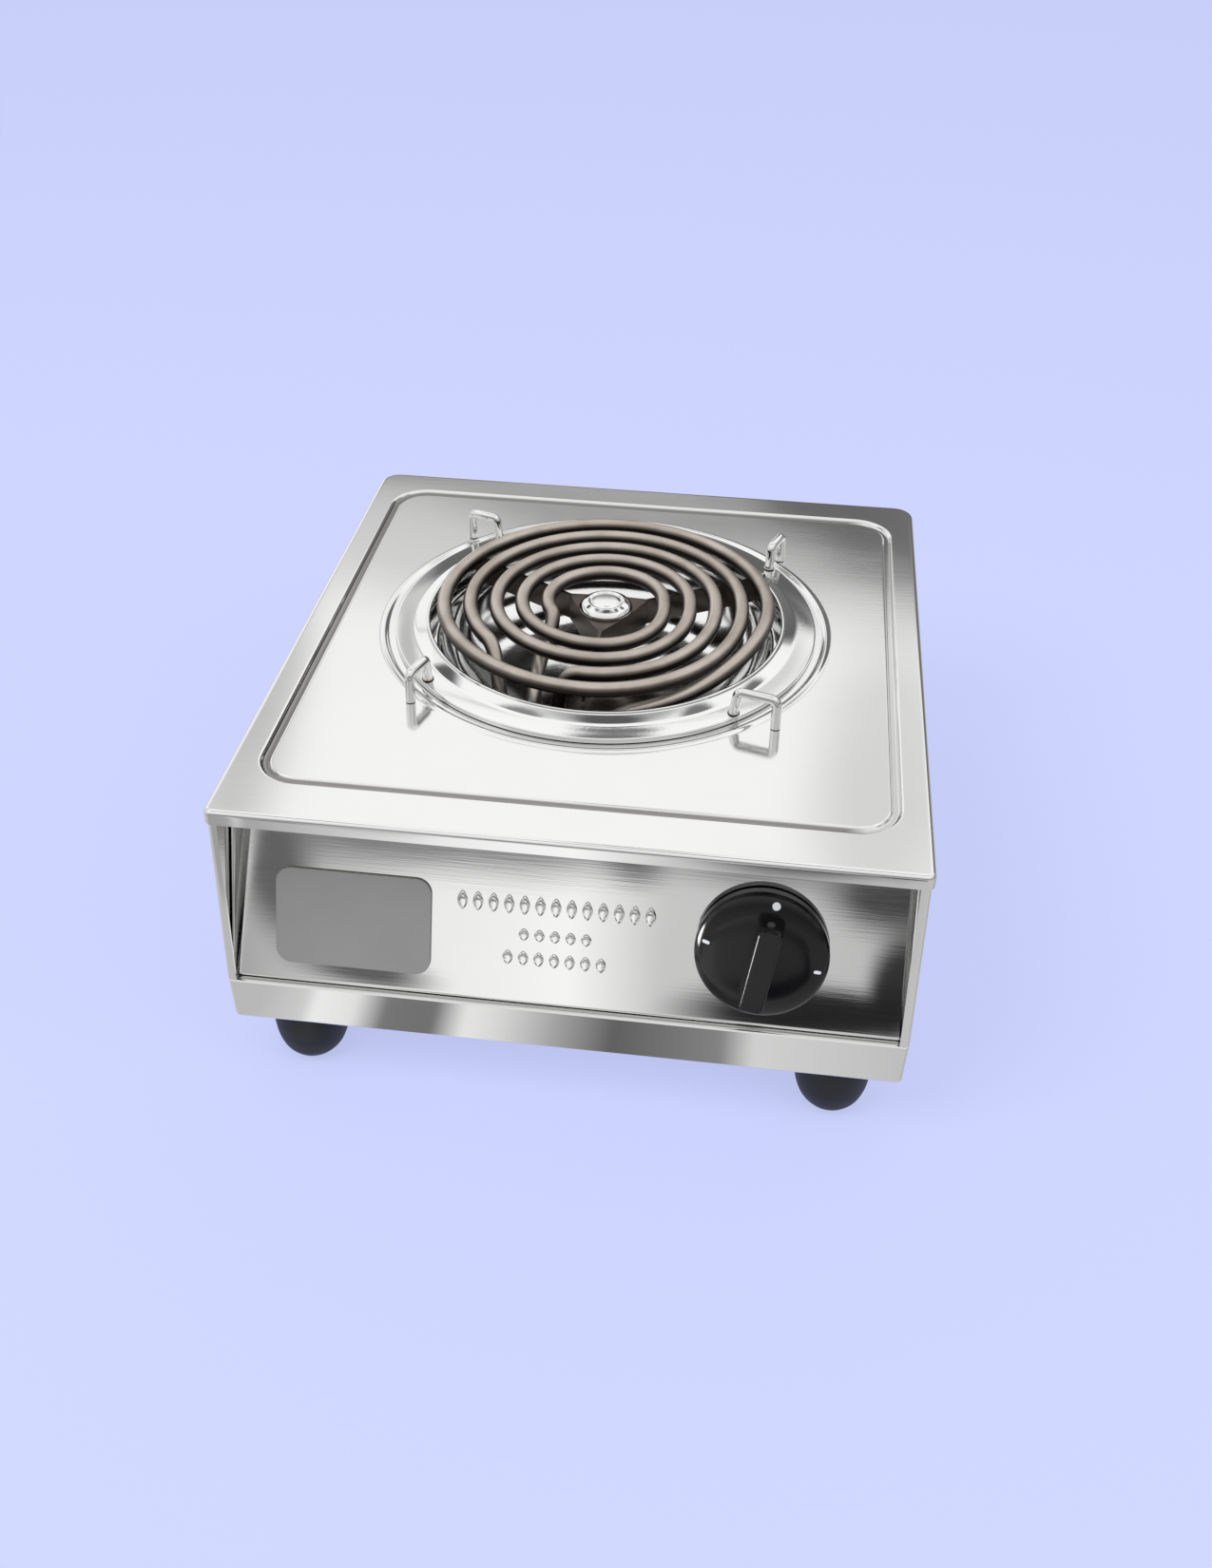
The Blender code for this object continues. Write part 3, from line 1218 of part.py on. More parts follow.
def make_inlet(body):
    """The gland in the back wall, its nut, and the supply terminals on the tray."""
    wall = empty("inlet_axis", (GLAND_X, BODY_HALF_Y, GLAND_Z), (-pi / 2, 0, 0), body)
    nose = CLEARANCE + GLAND_FLANGE + GLAND_NOSE
    profile = (
        (GLAND_BORE_RADIUS, nose),
        (GLAND_BORE_RADIUS * 1.5, nose),
        (GLAND_BARREL_RADIUS * 0.95, CLEARANCE + GLAND_FLANGE),
        (GLAND_FLANGE_RADIUS, CLEARANCE + GLAND_FLANGE * 0.8),
        (GLAND_FLANGE_RADIUS, CLEARANCE),
        (GLAND_BARREL_RADIUS, CLEARANCE),
        (GLAND_BARREL_RADIUS, -GLAND_BARREL),
        (GLAND_BORE_RADIUS, -GLAND_BARREL),
    )
    add("cord_gland", turned(profile, ROUND_SIDES, ring=True), "black_knob", wall)
    top = -BODY_SHEET - CLEARANCE
    nut = prism(circle(GLAND_NUT_RADIUS, GLAND_NUT_SIDES), top - GLAND_NUT_LENGTH, top)
    piece = add("gland_nut", nut, "black_knob", wall)
    bore = prism(
        circle(GLAND_BARREL_RADIUS + CLEARANCE, ROUND_SIDES),
        top - GLAND_NUT_LENGTH - TOOL_OVERRUN,
        top + TOOL_OVERRUN,
    )
    combine(piece, bore, "DIFFERENCE", "nut_bore")

    low = TRAY_FLOOR_TOP_Z + CLEARANCE
    outline = rounded(
        (GLAND_X - SUPPLY_LENGTH / 2, SUPPLY_Y - SUPPLY_DEPTH / 2),
        (GLAND_X + SUPPLY_LENGTH / 2, SUPPLY_Y + SUPPLY_DEPTH / 2),
        BLOCK_CORNER,
        BLOCK_CORNER,
        arc_steps=2,
    )
    block = add("supply_terminal", prism(outline, low, SUPPLY_TOP_Z), "ceramic", body)
    hole = prism(
        circle(SCREW_RADIUS + CLEARANCE, SCREW_SIDES, (GLAND_X, SUPPLY_Y)),
        low - TOOL_OVERRUN,
        SUPPLY_TOP_Z + TOOL_OVERRUN,
    )
    combine(block, hole, "DIFFERENCE", "supply_drill")
    length = SUPPLY_HEIGHT + TRAY_SHEET + 2 * CLEARANCE + SCREW_HEAD
    shape = screw(SCREW_HEAD_RADIUS, SCREW_HEAD, SCREW_RADIUS, length)
    place = (GLAND_X, SUPPLY_Y, SUPPLY_TOP_Z + CLEARANCE)
    add("supply_screw", shape, "bracket_steel", body, place=place)
    earth = screw(SCREW_HEAD_RADIUS, SCREW_HEAD, SCREW_RADIUS, SCREW_LENGTH)
    place = (EARTH_X, EARTH_Y, TRAY_FLOOR_TOP_Z + CLEARANCE)
    add("earth_screw", earth, "brass", body, place=place)


def make_feet(body):
    """Four moulded feet with a counterbore each, and the screws that hold them to the tray."""
    profile = [(FOOT_COUNTERBORE_RADIUS, 0), (FOOT_TREAD_RADIUS, 0)]
    height = FOOT_HEIGHT - CLEARANCE
    for radius_share, height_share in FOOT_SHAPE_SHARES:
        profile.append((FOOT_RADIUS * radius_share, height * height_share))
    profile += [
        (SCREW_RADIUS + CLEARANCE, height),
        (SCREW_RADIUS + CLEARANCE, FOOT_COUNTERBORE_DEPTH),
        (FOOT_COUNTERBORE_RADIUS, FOOT_COUNTERBORE_DEPTH),
    ]
    length = FOOT_HEIGHT - FOOT_COUNTERBORE_DEPTH + TRAY_SHEET + SCREW_HEAD
    for k, (x, y) in enumerate(foot_places()):
        add(f"rubber_foot_{k + 1}", turned(profile, FOOT_SIDES, ring=True), "black_rubber", body, place=(x, y, 0))
        shape = screw(SCREW_HEAD_RADIUS, SCREW_HEAD, SCREW_RADIUS, length)
        place = (x, y, FOOT_COUNTERBORE_DEPTH - CLEARANCE)
        add(f"foot_screw_{k + 1}", shape, "bracket_steel", body, place=place, turn=(pi, 0, 0))


def make_tray_screws(body):
    """Screws through the side walls into the tray's upstand."""
    for k, (x, y, z, side) in enumerate(tray_screw_places()):
        shape = screw(SCREW_HEAD_RADIUS, SCREW_HEAD, SCREW_RADIUS, SCREW_LENGTH)
        place = (x + side * CLEARANCE, y, z)
        add(f"tray_screw_{k + 1}", shape, "bracket_steel", body, place=place, turn=(0, side * pi / 2, 0))


def make_leads(body):
    """Wires from the supply terminals to the switch, the heaters' block and the earth screw."""
    supply_y = SUPPLY_Y - SUPPLY_DEPTH / 2 - CLEARANCE
    supply_z = TRAY_FLOOR_TOP_Z + CLEARANCE + SUPPLY_HEIGHT / 2
    stand = Matrix.Rotation(pi / 2 - PANEL_TILT, 3, "X")

    def behind_switch(x, y, away):
        """A point behind the leaning switch's cover, by its place on the cover and its distance."""
        return Vector((KNOB_X, KNOB_Y, KNOB_Z)) + stand @ Vector((x, y, -COVER_BACK - CLEARANCE - away))

    block_y = TAIL_Y + BLOCK_DEPTH / 2 + CLEARANCE
    block_z = BLOCK_TOP_Z - BLOCK_HEIGHT / 2
    step_x = SUPPLY_LENGTH / 3
    floor_z = TRAY_FLOOR_TOP_Z
    routes = {
        "switch_lead": (
            "red_wire",
            [
                (GLAND_X + step_x, supply_y, supply_z),
                (GLAND_X + step_x, supply_y - 0.012, supply_z),
                (0.112, 0.050, floor_z + 0.010),
                (0.112, -0.030, floor_z + 0.012),
                (0.100, -0.075, floor_z + 0.032),
                behind_switch(0, 0, 0.014),
                behind_switch(0, 0, 0),
            ],
        ),
        "outer_lead": (
            "red_wire",
            [
                behind_switch(0, -SWITCH_HALF * 0.8, 0),
                behind_switch(-0.001, -SWITCH_HALF * 0.8, 0.010),
                (0.052, -0.062, floor_z + 0.032),
                (0.022, -0.026, floor_z + 0.032),
                (TAIL_XS[3], block_y + 0.012, block_z - 0.003),
                (TAIL_XS[3], block_y, block_z),
            ],
        ),
        "inner_lead": (
            "red_wire",
            [
                behind_switch(-SWITCH_HALF * 0.8, 0, 0),
                behind_switch(-SWITCH_HALF * 0.85, 0, 0.010),
                (0.044, -0.066, floor_z + 0.049),
                (0.020, -0.014, floor_z + 0.048),
                (TAIL_XS[2], block_y + 0.014, block_z),
                (TAIL_XS[2], block_y, block_z),
            ],
        ),
        "neutral_lead": (
            "blue_wire",
            [
                (GLAND_X, supply_y, supply_z),
                (GLAND_X, supply_y - 0.012, supply_z),
                (0.066, 0.050, floor_z + 0.0065),
                (0.010, 0.004, floor_z + 0.0095),
                (TAIL_XS[1] + 0.004, block_y + 0.018, floor_z + 0.036),
                (TAIL_XS[1], block_y + 0.008, block_z - 0.003),
                (TAIL_XS[1], block_y, block_z),
            ],
        ),
        "earth_lead": (
            "green_wire",
            [
                (GLAND_X - step_x, supply_y, supply_z),
                (GLAND_X - step_x, supply_y - 0.008, supply_z - 0.001),
                (0.060, 0.088, floor_z + 0.0045),
                (EARTH_X + 0.008, EARTH_Y - 0.012, floor_z + 0.003),
                (EARTH_X + 0.002, EARTH_Y - SCREW_HEAD_RADIUS - 0.0006, floor_z + 0.0023),
            ],
        ),
    }
    for name, (finish, points) in routes.items():
        path = smooth_path(points, LEAD_POINT_STEP)
        add(name, tube(name, path, LEAD_DIAMETER, 2), finish, body)


def clear_scene():
    for old in list(bpy.data.objects):
        bpy.data.objects.remove(old, do_unlink=True)


def build():
    clear_scene()
    body = empty("hotplate", (0, (front_reach() - BACK_REACH) / 2, 0))
    burner = empty("burner_axis", (BURNER_X, BURNER_Y, SURFACE_Z), parent=body)
    element = empty("element_plane", (BURNER_X, BURNER_Y, COIL_Z), parent=body)
    axis = empty("knob_axis", (KNOB_X, KNOB_Y, KNOB_Z), (pi / 2 - PANEL_TILT, 0, 0), body)
    make_top_plate(body)
    make_body_wrap(body)
    make_front_panel(body)
    make_base_tray(body)
    make_nameplate(body)
    make_drip_bowl(burner)
    make_pan_ring(burner)
    make_pan_supports(burner)
    make_heaters(element)
    make_spider(burner)
    make_medallion(burner)
    make_terminals(body)
    make_knob(axis)
    make_switch(axis)
    make_inlet(body)
    make_feet(body)
    make_tray_screws(body)
    make_leads(body)
    bpy.context.view_layer.update()
    knob = axis.matrix_world.translation
    print(f"knob axis at {knob.x:.5f} {knob.y:.5f} {knob.z:.5f}")
    print(f"burner centre at {burner.matrix_world.translation.y:.5f} in Y, surface at {SURFACE_Z:.5f}")


build()
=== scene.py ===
# %% [markdown]
# # A coil hotplate in polished stainless steel
# The object is a small electric stove with one burner. A pressed top plate sits on a folded body,
# two tubular heaters lie in a spiral over a bright bowl, and a black knob turns the switch.
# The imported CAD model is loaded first. It says where everything is and how the parts move, so each
# piece below is built round the CAD piece that it stands for, and rides on the same body.

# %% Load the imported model
import json
from math import asin, atan2, ceil, cos, floor, pi, radians, sin, tan

import bmesh
import bpy
from mathutils import Euler, Matrix, Vector


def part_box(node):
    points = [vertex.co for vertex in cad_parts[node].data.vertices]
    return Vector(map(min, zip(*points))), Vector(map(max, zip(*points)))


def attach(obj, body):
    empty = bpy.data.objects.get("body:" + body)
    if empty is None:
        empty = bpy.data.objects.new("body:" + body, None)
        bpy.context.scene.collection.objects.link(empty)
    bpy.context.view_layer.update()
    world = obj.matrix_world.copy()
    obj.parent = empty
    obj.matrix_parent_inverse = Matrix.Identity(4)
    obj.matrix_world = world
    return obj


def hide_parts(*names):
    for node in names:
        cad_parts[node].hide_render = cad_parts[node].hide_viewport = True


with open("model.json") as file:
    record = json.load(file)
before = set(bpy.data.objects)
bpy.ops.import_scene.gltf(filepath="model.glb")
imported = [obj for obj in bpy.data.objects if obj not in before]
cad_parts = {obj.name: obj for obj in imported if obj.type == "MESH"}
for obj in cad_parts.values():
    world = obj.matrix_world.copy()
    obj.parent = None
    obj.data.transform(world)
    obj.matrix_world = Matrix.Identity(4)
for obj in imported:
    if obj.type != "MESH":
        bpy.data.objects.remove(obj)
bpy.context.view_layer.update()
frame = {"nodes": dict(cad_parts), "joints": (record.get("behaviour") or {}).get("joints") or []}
nodes = frame["nodes"]

# %% [markdown]
# The photograph looks down on the stove from a little right of the middle, through a fairly long
# lens. The camera's place, turn and lens were fitted to the plate's corners and edges, measured
# from the middle of the plate's top. The lens shift only puts the stove where it stands in the
# picture.

# %% Camera
plate_low, plate_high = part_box("top_plate")
RIB_OVER_RIM = 0.0006
PLATE_TOP = plate_high.z - RIB_OVER_RIM
PLATE_CENTRE = Vector((0, (plate_low.y + plate_high.y) / 2, PLATE_TOP))
CAMERA_FROM_PLATE = Vector((0.0739, -0.6432, 0.3995))
CAMERA_TURN = (radians(59.792), radians(-0.777), radians(7.191))
LENS = 38.568
IMAGE_HEIGHT = 1650
PIXELS_DOWN = 200
scene = bpy.context.scene


def linked(name, data):
    """A new object in the scene, at the origin."""
    thing = bpy.data.objects.new(name, data)
    scene.collection.objects.link(thing)
    return thing


camera = linked("camera", bpy.data.cameras.new("camera"))
camera.data.sensor_width = 36
camera.data.lens = LENS
camera.data.shift_y = -PIXELS_DOWN / IMAGE_HEIGHT
camera.location = PLATE_CENTRE + CAMERA_FROM_PLATE
camera.rotation_euler = CAMERA_TURN
scene.camera = camera
scene.view_settings.view_transform = "Standard"
print("camera at", [round(v, 4) for v in camera.location])

# %% [markdown]
# Materials and Geometry Nodes are both made of nodes. Writing them is shorter with two helpers.
# `Value` wraps one socket, and a sum, product or ratio with it adds the Math node that does it.
# `Bench` adds any other node from its type, its settings and the values or links of its inputs.

# %% Helpers for node trees
class Value:
    """One output socket of a node tree, with arithmetic."""

    def __init__(self, bench, socket):
        self.bench = bench
        self.socket = socket

    def maths(self, operation, first, second):
        return self.bench.node("ShaderNodeMath", {"operation": operation}, {0: first, 1: second})

    def __add__(self, other):
        return self.maths("ADD", self, other)

    def __sub__(self, other):
        return self.maths("SUBTRACT", self, other)

    def __rsub__(self, other):
        return self.maths("SUBTRACT", other, self)

    def __mul__(self, other):
        return self.maths("MULTIPLY", self, other)

    def __rtruediv__(self, other):
        return self.maths("DIVIDE", other, self)

    __radd__ = __add__
    __rmul__ = __mul__


class Bench:
    """A node tree that is being built."""

    def __init__(self, tree):
        self.tree = tree

    def node(self, kind, settings=None, inputs=None, out=0):
        made = self.tree.nodes.new(kind)
        for name, value in (settings or {}).items():
            if name == "stops":
                self.set_stops(made.color_ramp, value)
            else:
                setattr(made, name, value)
        for key, value in (inputs or {}).items():
            if isinstance(value, Value):
                self.tree.links.new(value.socket, made.inputs[key])
            else:
                made.inputs[key].default_value = value
        return Value(self, made.outputs[out])

    def set_stops(self, ramp, stops):
        while len(ramp.elements) < len(stops):
            ramp.elements.new(0.5)
        for element, (place, colour) in zip(ramp.elements, stops):
            element.position = place
            element.color = colour

    def mix(self, share, first, second):
        """One colour turning into another; a colour may be given without its alpha."""
        ends = [end if isinstance(end, Value) else (*end[:3], 1) for end in (first, second)]
        inputs = {0: share, 6: ends[0], 7: ends[1]}
        return self.node("ShaderNodeMix", {"data_type": "RGBA"}, inputs, out=2)

    def larger(self, first, second):
        return self.node("ShaderNodeMath", {"operation": "MAXIMUM"}, {0: first, 1: second})

    def grey(self, source, stops):
        """A ramp of plain greys, from (place, brightness) pairs."""
        colours = [(place, (v, v, v, 1)) for place, v in stops]
        return self.node("ShaderNodeValToRGB", {"stops": colours}, {0: source})


# %% [markdown]
# Every metal here starts from the same surface: where it is on the object, in metres. A noise
# stretched along one direction gives the fine lines that polishing leaves, and a slow, broad one
# gives the sheet's faint waves, which bend its reflections as they do on real thin sheet.

# %% Helpers for finishes
def finish(name, settings, build):
    """One material on the Principled shader; build adds what changes over the surface."""
    made = bpy.data.materials.new(name)
    made.use_nodes = True
    bench = Bench(made.node_tree)
    shader = made.node_tree.nodes["Principled BSDF"]
    for key, value in settings.items():
        shader.inputs[key].default_value = value
    for key, value in build(bench).items():
        made.node_tree.links.new(value.socket, shader.inputs[key])
    return made


def place(bench, stretch=(1, 1, 1)):
    """Object coordinates, stretched to make grain."""
    here = bench.node("ShaderNodeTexCoord", out="Object")
    return bench.node("ShaderNodeMapping", {}, {"Vector": here, "Scale": stretch})


def part_of(bench, vector, which):
    """One number of a vector: 0, 1 or 2 for x, y or z."""
    return bench.node("ShaderNodeSeparateXYZ", {}, {0: vector}, out=which)


def axis_of(bench, which, low, high, vector=None):
    """0 to 1 along one axis, from a low to a high place or direction."""
    along = part_of(bench, vector or bench.node("ShaderNodeTexCoord", out="Object"), which)
    inputs = {0: along, 1: low, 2: high, 3: 0.0, 4: 1.0}
    return bench.node("ShaderNodeMapRange", {"clamp": True}, inputs)


def noise(bench, where, scale, detail=3, roughness=0.5):
    """Cloudy noise from 0 to 1, finer with a larger scale."""
    inputs = {"Vector": where, "Scale": scale, "Detail": detail, "Roughness": roughness}
    return bench.node("ShaderNodeTexNoise", {}, inputs, out="Fac")


def bump(bench, height, distance, strength=1.0, normal=None):
    """A surface that seems raised where the height is more, by a distance in metres."""
    inputs = {"Height": height, "Distance": distance, "Strength": strength}
    if normal:
        inputs["Normal"] = normal
    return bench.node("ShaderNodeBump", {}, inputs)


# %% [markdown]
# The plate, the body, the ring and the bowl are thin stainless sheet, polished until it mirrors.
# A metal has no colour of its own but its reflections, so it is metallic and nearly smooth. The
# versions differ in how much the sheet waves and in the direction of the buffing lines. Down in the
# plate's groove the steel's colour is painted dark, as painted shade for the groove's shadow, except
# along the groove's right side, which is left bright.

# %% Polished steel
STEEL = (0.80, 0.80, 0.795)
CLOUDED_STEEL = (0.768, 0.768, 0.7632)
# Painted shade for the plate's groove: its colour, and the depth below the plate's top over which it fades
# in.
GROOVE_SHADE_STEEL = (0.26, 0.25, 0.245)
MASK_DEPTH = 0.0016


def clear_of_groove_shade(bench):
    """Where the groove's painted shade is left off: 1 on the plate, on its lip and along the groove's right
    side, and 0 in the rest of the groove.
    """
    low_lip = [(0.0, 1), (0.022, 1), (0.034, 0)]
    height = axis_of(bench, 2, PLATE_TOP - MASK_DEPTH, PLATE_TOP)
    side = bench.grey(axis_of(bench, 0, plate_low.x, plate_high.x), low_lip + [(0.88, 0), (0.91, 0.85)])
    end = bench.grey(axis_of(bench, 1, plate_low.y, plate_high.y), low_lip + [(0.966, 0), (0.978, 1)])
    return bench.larger(bench.larger(side, end), bench.grey(height, [(0.0, 0), (0.30, 0.1), (0.55, 1)]))


def steel(name, lines, waves, roughness=0.09, groove=False):
    """Buffed steel with fine lines that are stretched as given, on a sheet that waves a little; with groove
    set, its colour gets painted shade down in the plate's groove.
    """
    def build(bench):
        grain = noise(bench, place(bench, lines), 1.0, detail=4)
        broad = noise(bench, place(bench), 9.0, detail=1)
        cloud = noise(bench, place(bench), 26.0, detail=3)
        waved = bump(bench, broad, waves)
        lined = bump(bench, grain, 0.00002, 0.35, waved)
        rough = cloud * 0.05 + grain * 0.05 + (roughness - 0.05)
        tone_and_painted_light = bench.mix(cloud, CLOUDED_STEEL, STEEL)
        # Painted shade: the steel's colour darkens down in the plate's groove, except along its right side.
        if groove:
            tone_and_painted_light = bench.mix(clear_of_groove_shade(bench), GROOVE_SHADE_STEEL, tone_and_painted_light)
        return {"Base Color": tone_and_painted_light, "Roughness": rough, "Normal": lined}

    return finish(name, {"Metallic": 1.0}, build)


plate_steel = steel("polished_plate", (30, 1400, 400), 0.0005, groove=True)
panel_steel = steel("polished_panel", (30, 400, 1400), 0.0012, roughness=0.06)
tray_steel = steel("polished_tray", (25, 400, 1500), 0.0008, roughness=0.14)
side_steel = steel("polished_sides", (400, 30, 1400), 0.0010, roughness=0.11)
ring_steel = steel("polished_ring", (700, 700, 700), 0.0003, roughness=0.07)

# %% [markdown]
# The heater's sheath is a nickel steel tube that was drawn, wound and then browned by its first
# heating. It is metal with a satin, finely scaled surface in warm grey patches. Its colour is painted
# lighter on top and nearly black on its flanks: a painted highlight and painted shade, by which way
# the surface faces. Brackets and screws are plain zinc-plated steel.

# %% Heater sheath and plain metals
def build_sheath(bench):
    """Painted highlight on top and painted shade below, by which way the surface faces, in soft patches."""
    patches = noise(bench, place(bench), 55.0, detail=3)
    scale = noise(bench, place(bench), 900.0, detail=3, roughness=0.7)
    shares = bench.grey(patches, [(0.35, 0), (0.68, 1)])
    painted_lit_colour = bench.mix(shares, (0.445, 0.39, 0.34), (0.57, 0.51, 0.46))
    # Painted light: the colour is lit warm grey where the sheath faces up and nearly black where it faces
    # sideways or down.
    upward = axis_of(bench, 2, -0.25, 1.0, bench.node("ShaderNodeNewGeometry", out="Normal"))
    tone_and_painted_light = bench.grey(upward + patches * 0.16, [(0.42, 0), (0.74, 0.30), (0.96, 1)])
    colour = bench.mix(tone_and_painted_light, (0.030, 0.023, 0.020), painted_lit_colour)
    rough = scale * 0.16 + patches * 0.10 + 0.24
    return {"Base Color": colour, "Roughness": rough, "Normal": bump(bench, scale, 0.00003, 0.5)}


def build_heat_tint(bench):
    patches = noise(bench, place(bench), 90.0, detail=3)
    colour = bench.mix(patches, (0.050, 0.040, 0.034), (0.20, 0.17, 0.15))
    return {"Base Color": colour, "Roughness": patches * 0.2 + 0.3}


def build_zinc(bench):
    """Zinc crystals of slightly different greys."""
    inputs = {"Vector": place(bench), "Scale": 420.0}
    spangle = bench.node("ShaderNodeTexVoronoi", {"feature": "F1"}, inputs, out="Color")
    cloud = noise(bench, place(bench), 60.0)
    shares = bench.node("ShaderNodeRGBToBW", {}, {0: spangle})
    colour = bench.mix(shares, (0.50, 0.50, 0.49), (0.66, 0.66, 0.65))
    return {"Base Color": colour, "Roughness": cloud * 0.15 + 0.27}


def build_brass(bench):
    cloud = noise(bench, place(bench), 80.0)
    colour = bench.mix(cloud, (0.70, 0.50, 0.22), (0.84, 0.66, 0.36))
    return {"Base Color": colour, "Roughness": cloud * 0.2 + 0.2}


sheath = finish("heater_sheath", {"Metallic": 0.82}, build_sheath)
heat_tint = finish("heat_tinted_steel", {"Metallic": 0.9}, build_heat_tint)
zinc = finish("zinc_plate", {"Metallic": 1.0}, build_zinc)
brass = finish("turned_brass", {"Metallic": 1.0}, build_brass)

# %% [markdown]
# The knob is a glossy phenolic moulding with a trace of dust and fingerprints, which shows only as
# uneven gloss. Its white marks are thick printed ink. The feet are rubber: rough, with a fine grain
# from the mould.

# %% Mouldings, rubber and paint
MOULD_GRAIN = (1500.0, 0.00001)
RUBBER_GRAIN = (900.0, 0.00006)


def moulding(name, dark, light, roughness, grain=MOULD_GRAIN, shine=0.5):
    """A moulded or painted surface: its two colours, its roughness and how far that spreads."""
    def build(bench):
        smear = noise(bench, place(bench), 70.0, detail=4, roughness=0.6)
        pores = noise(bench, place(bench), grain[0], detail=2)
        rough = smear * roughness[1] + roughness[0]
        colour = bench.mix(smear, dark, light)
        return {"Base Color": colour, "Roughness": rough, "Normal": bump(bench, pores, grain[1], 0.4)}

    return finish(name, {"Metallic": 0.0, "Specular IOR Level": shine}, build)


knob_black = moulding("knob_black", (0.005, 0.005, 0.005), (0.009, 0.009, 0.009), (0.07, 0.10), shine=0.32)
RUBBER = ((0.004, 0.004, 0.004), (0.009, 0.009, 0.0085), (0.40, 0.22))
rubber_black = moulding("rubber_black", *RUBBER, grain=RUBBER_GRAIN, shine=0.35)
mark_white = moulding("mark_white", (0.72, 0.72, 0.70), (0.86, 0.86, 0.84), (0.38, 0.15))
glazed = moulding("glazed_ceramic", (0.74, 0.71, 0.64), (0.86, 0.84, 0.79), (0.18, 0.14))
bakelite = moulding("brown_moulding", (0.035, 0.022, 0.018), (0.060, 0.042, 0.034), (0.32, 0.18))
COVERING = (0.34, 0.14)
wire_red = moulding("wire_red", (0.42, 0.02, 0.015), (0.56, 0.035, 0.025), COVERING)
wire_blue = moulding("wire_blue", (0.02, 0.09, 0.36), (0.035, 0.13, 0.47), COVERING)
wire_green = moulding("wire_green", (0.035, 0.27, 0.06), (0.055, 0.37, 0.09), COVERING)

# %% [markdown]
# The nameplate is thin aluminium, satin grey all over. Here it stays bare. Its grain is a soft,
# fine stipple, which scatters light without any lines.

# %% Nameplate finish
def build_nameplate(bench):
    stipple = noise(bench, place(bench), 2600.0, detail=2)
    cloud = noise(bench, place(bench), 45.0, detail=3)
    colour = bench.mix(cloud, (0.255, 0.246, 0.222), (0.292, 0.283, 0.255))
    pressed = bump(bench, stipple, 0.00002, 0.5)
    return {"Base Color": colour, "Roughness": stipple * 0.12 + 0.40, "Normal": pressed}


plate_grey = finish("nameplate_grey", {"Metallic": 0.1}, build_nameplate)

# %% [markdown]
# Most pieces are sheet or moulded, so two makers do most of the work: one joins loops of points
# into a skin, the other turns a section about an upright axis. A finished piece is smooth except
# at real edges, sits at the origin, and rides on its CAD body in place of its CAD node.

# %% Makers of shapes
def level(outline, height):
    """A flat loop of points at one height."""
    return [Vector((x, y, height)) for x, y in outline]


def skin(loops, ring=False, capped=True):
    """A closed body through loops of equal count, capped at its ends or closed on itself."""
    shape = bmesh.new()
    rows = [[shape.verts.new(point) for point in loop] for loop in loops]
    pairs = list(zip(rows, rows[1:]))
    if ring:
        pairs.append((rows[-1], rows[0]))
    for low, high in pairs:
        for i, vertex in enumerate(low):
            after = (i + 1) % len(low)
            shape.faces.new((vertex, low[after], high[after], high[i]))
    if capped and not ring:
        shape.faces.new(rows[0])
        shape.faces.new(rows[-1])
    bmesh.ops.recalc_face_normals(shape, faces=shape.faces)
    return shape


def turned(profile, sides, ring=False):
    """A body of revolution about Z from points (radius, height); an open profile ends on the axis."""
    shape = bmesh.new()
    points = [shape.verts.new((radius, 0, height)) for radius, height in profile]
    edges = [shape.edges.new(pair) for pair in zip(points, points[1:])]
    if ring:
        edges.append(shape.edges.new((points[-1], points[0])))
    bmesh.ops.spin(
        shape, geom=points + edges, cent=(0, 0, 0), axis=(0, 0, 1), angle=2 * pi, steps=sides, use_merge=True
    )
    bmesh.ops.remove_doubles(shape, verts=shape.verts, dist=0.000002)
    bmesh.ops.recalc_face_normals(shape, faces=shape.faces)
    return shape


def turn_about(axis, degrees):
    return Matrix.Rotation(radians(degrees), 4, axis)


def moved(shape, where=(0, 0, 0), turn=None):
    """A shape that is first turned and then set down at a place."""
    matrix = Matrix.Translation(where)
    if turn:
        matrix = matrix @ turn
    bmesh.ops.transform(shape, matrix=matrix, verts=shape.verts)
    return shape


def circle(radius, sides):
    turns = [2 * pi * i / sides for i in range(sides)]
    return [(radius * cos(turn), radius * sin(turn)) for turn in turns]


def up(height):
    return Vector((0, 0, height))


def middle_of(node):
    """The middle of a CAD node's box."""
    low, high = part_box(node)
    return (low + high) / 2


def standing(group, at_top=False):
    """Where upright copies stand for CAD nodes: in the middle of each, at its foot or its top."""
    places = []
    for node in group:
        low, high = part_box(node)
        middle = middle_of(node)
        places.append(((middle.x, middle.y, high.z if at_top else low.z), (0, 0, 0)))
    return places


def four(name):
    return [f"{name}_{k}" for k in range(1, 5)]


def arc(centre, radius, start, end, steps):
    """Points of an arc in a section, from one angle to another in degrees."""
    return [
        (
            centre[0] + radius * cos(radians(start + (end - start) * k / steps)),
            centre[1] + radius * sin(radians(start + (end - start) * k / steps)),
        )
        for k in range(steps + 1)
    ]


def settled(name, shape):
    """The plain mesh of a bmesh, which is freed."""
    mesh = bpy.data.meshes.new(name)
    shape.to_mesh(mesh)
    shape.free()
    return mesh


def opened(mesh):
    """A mesh as a bmesh, to work on."""
    shape = bmesh.new()
    shape.from_mesh(mesh)
    return shape


def evaluated(thing):
    """The mesh of an object once its modifiers have worked."""
    graph = bpy.context.evaluated_depsgraph_get()
    return bpy.data.meshes.new_from_object(thing.evaluated_get(graph))


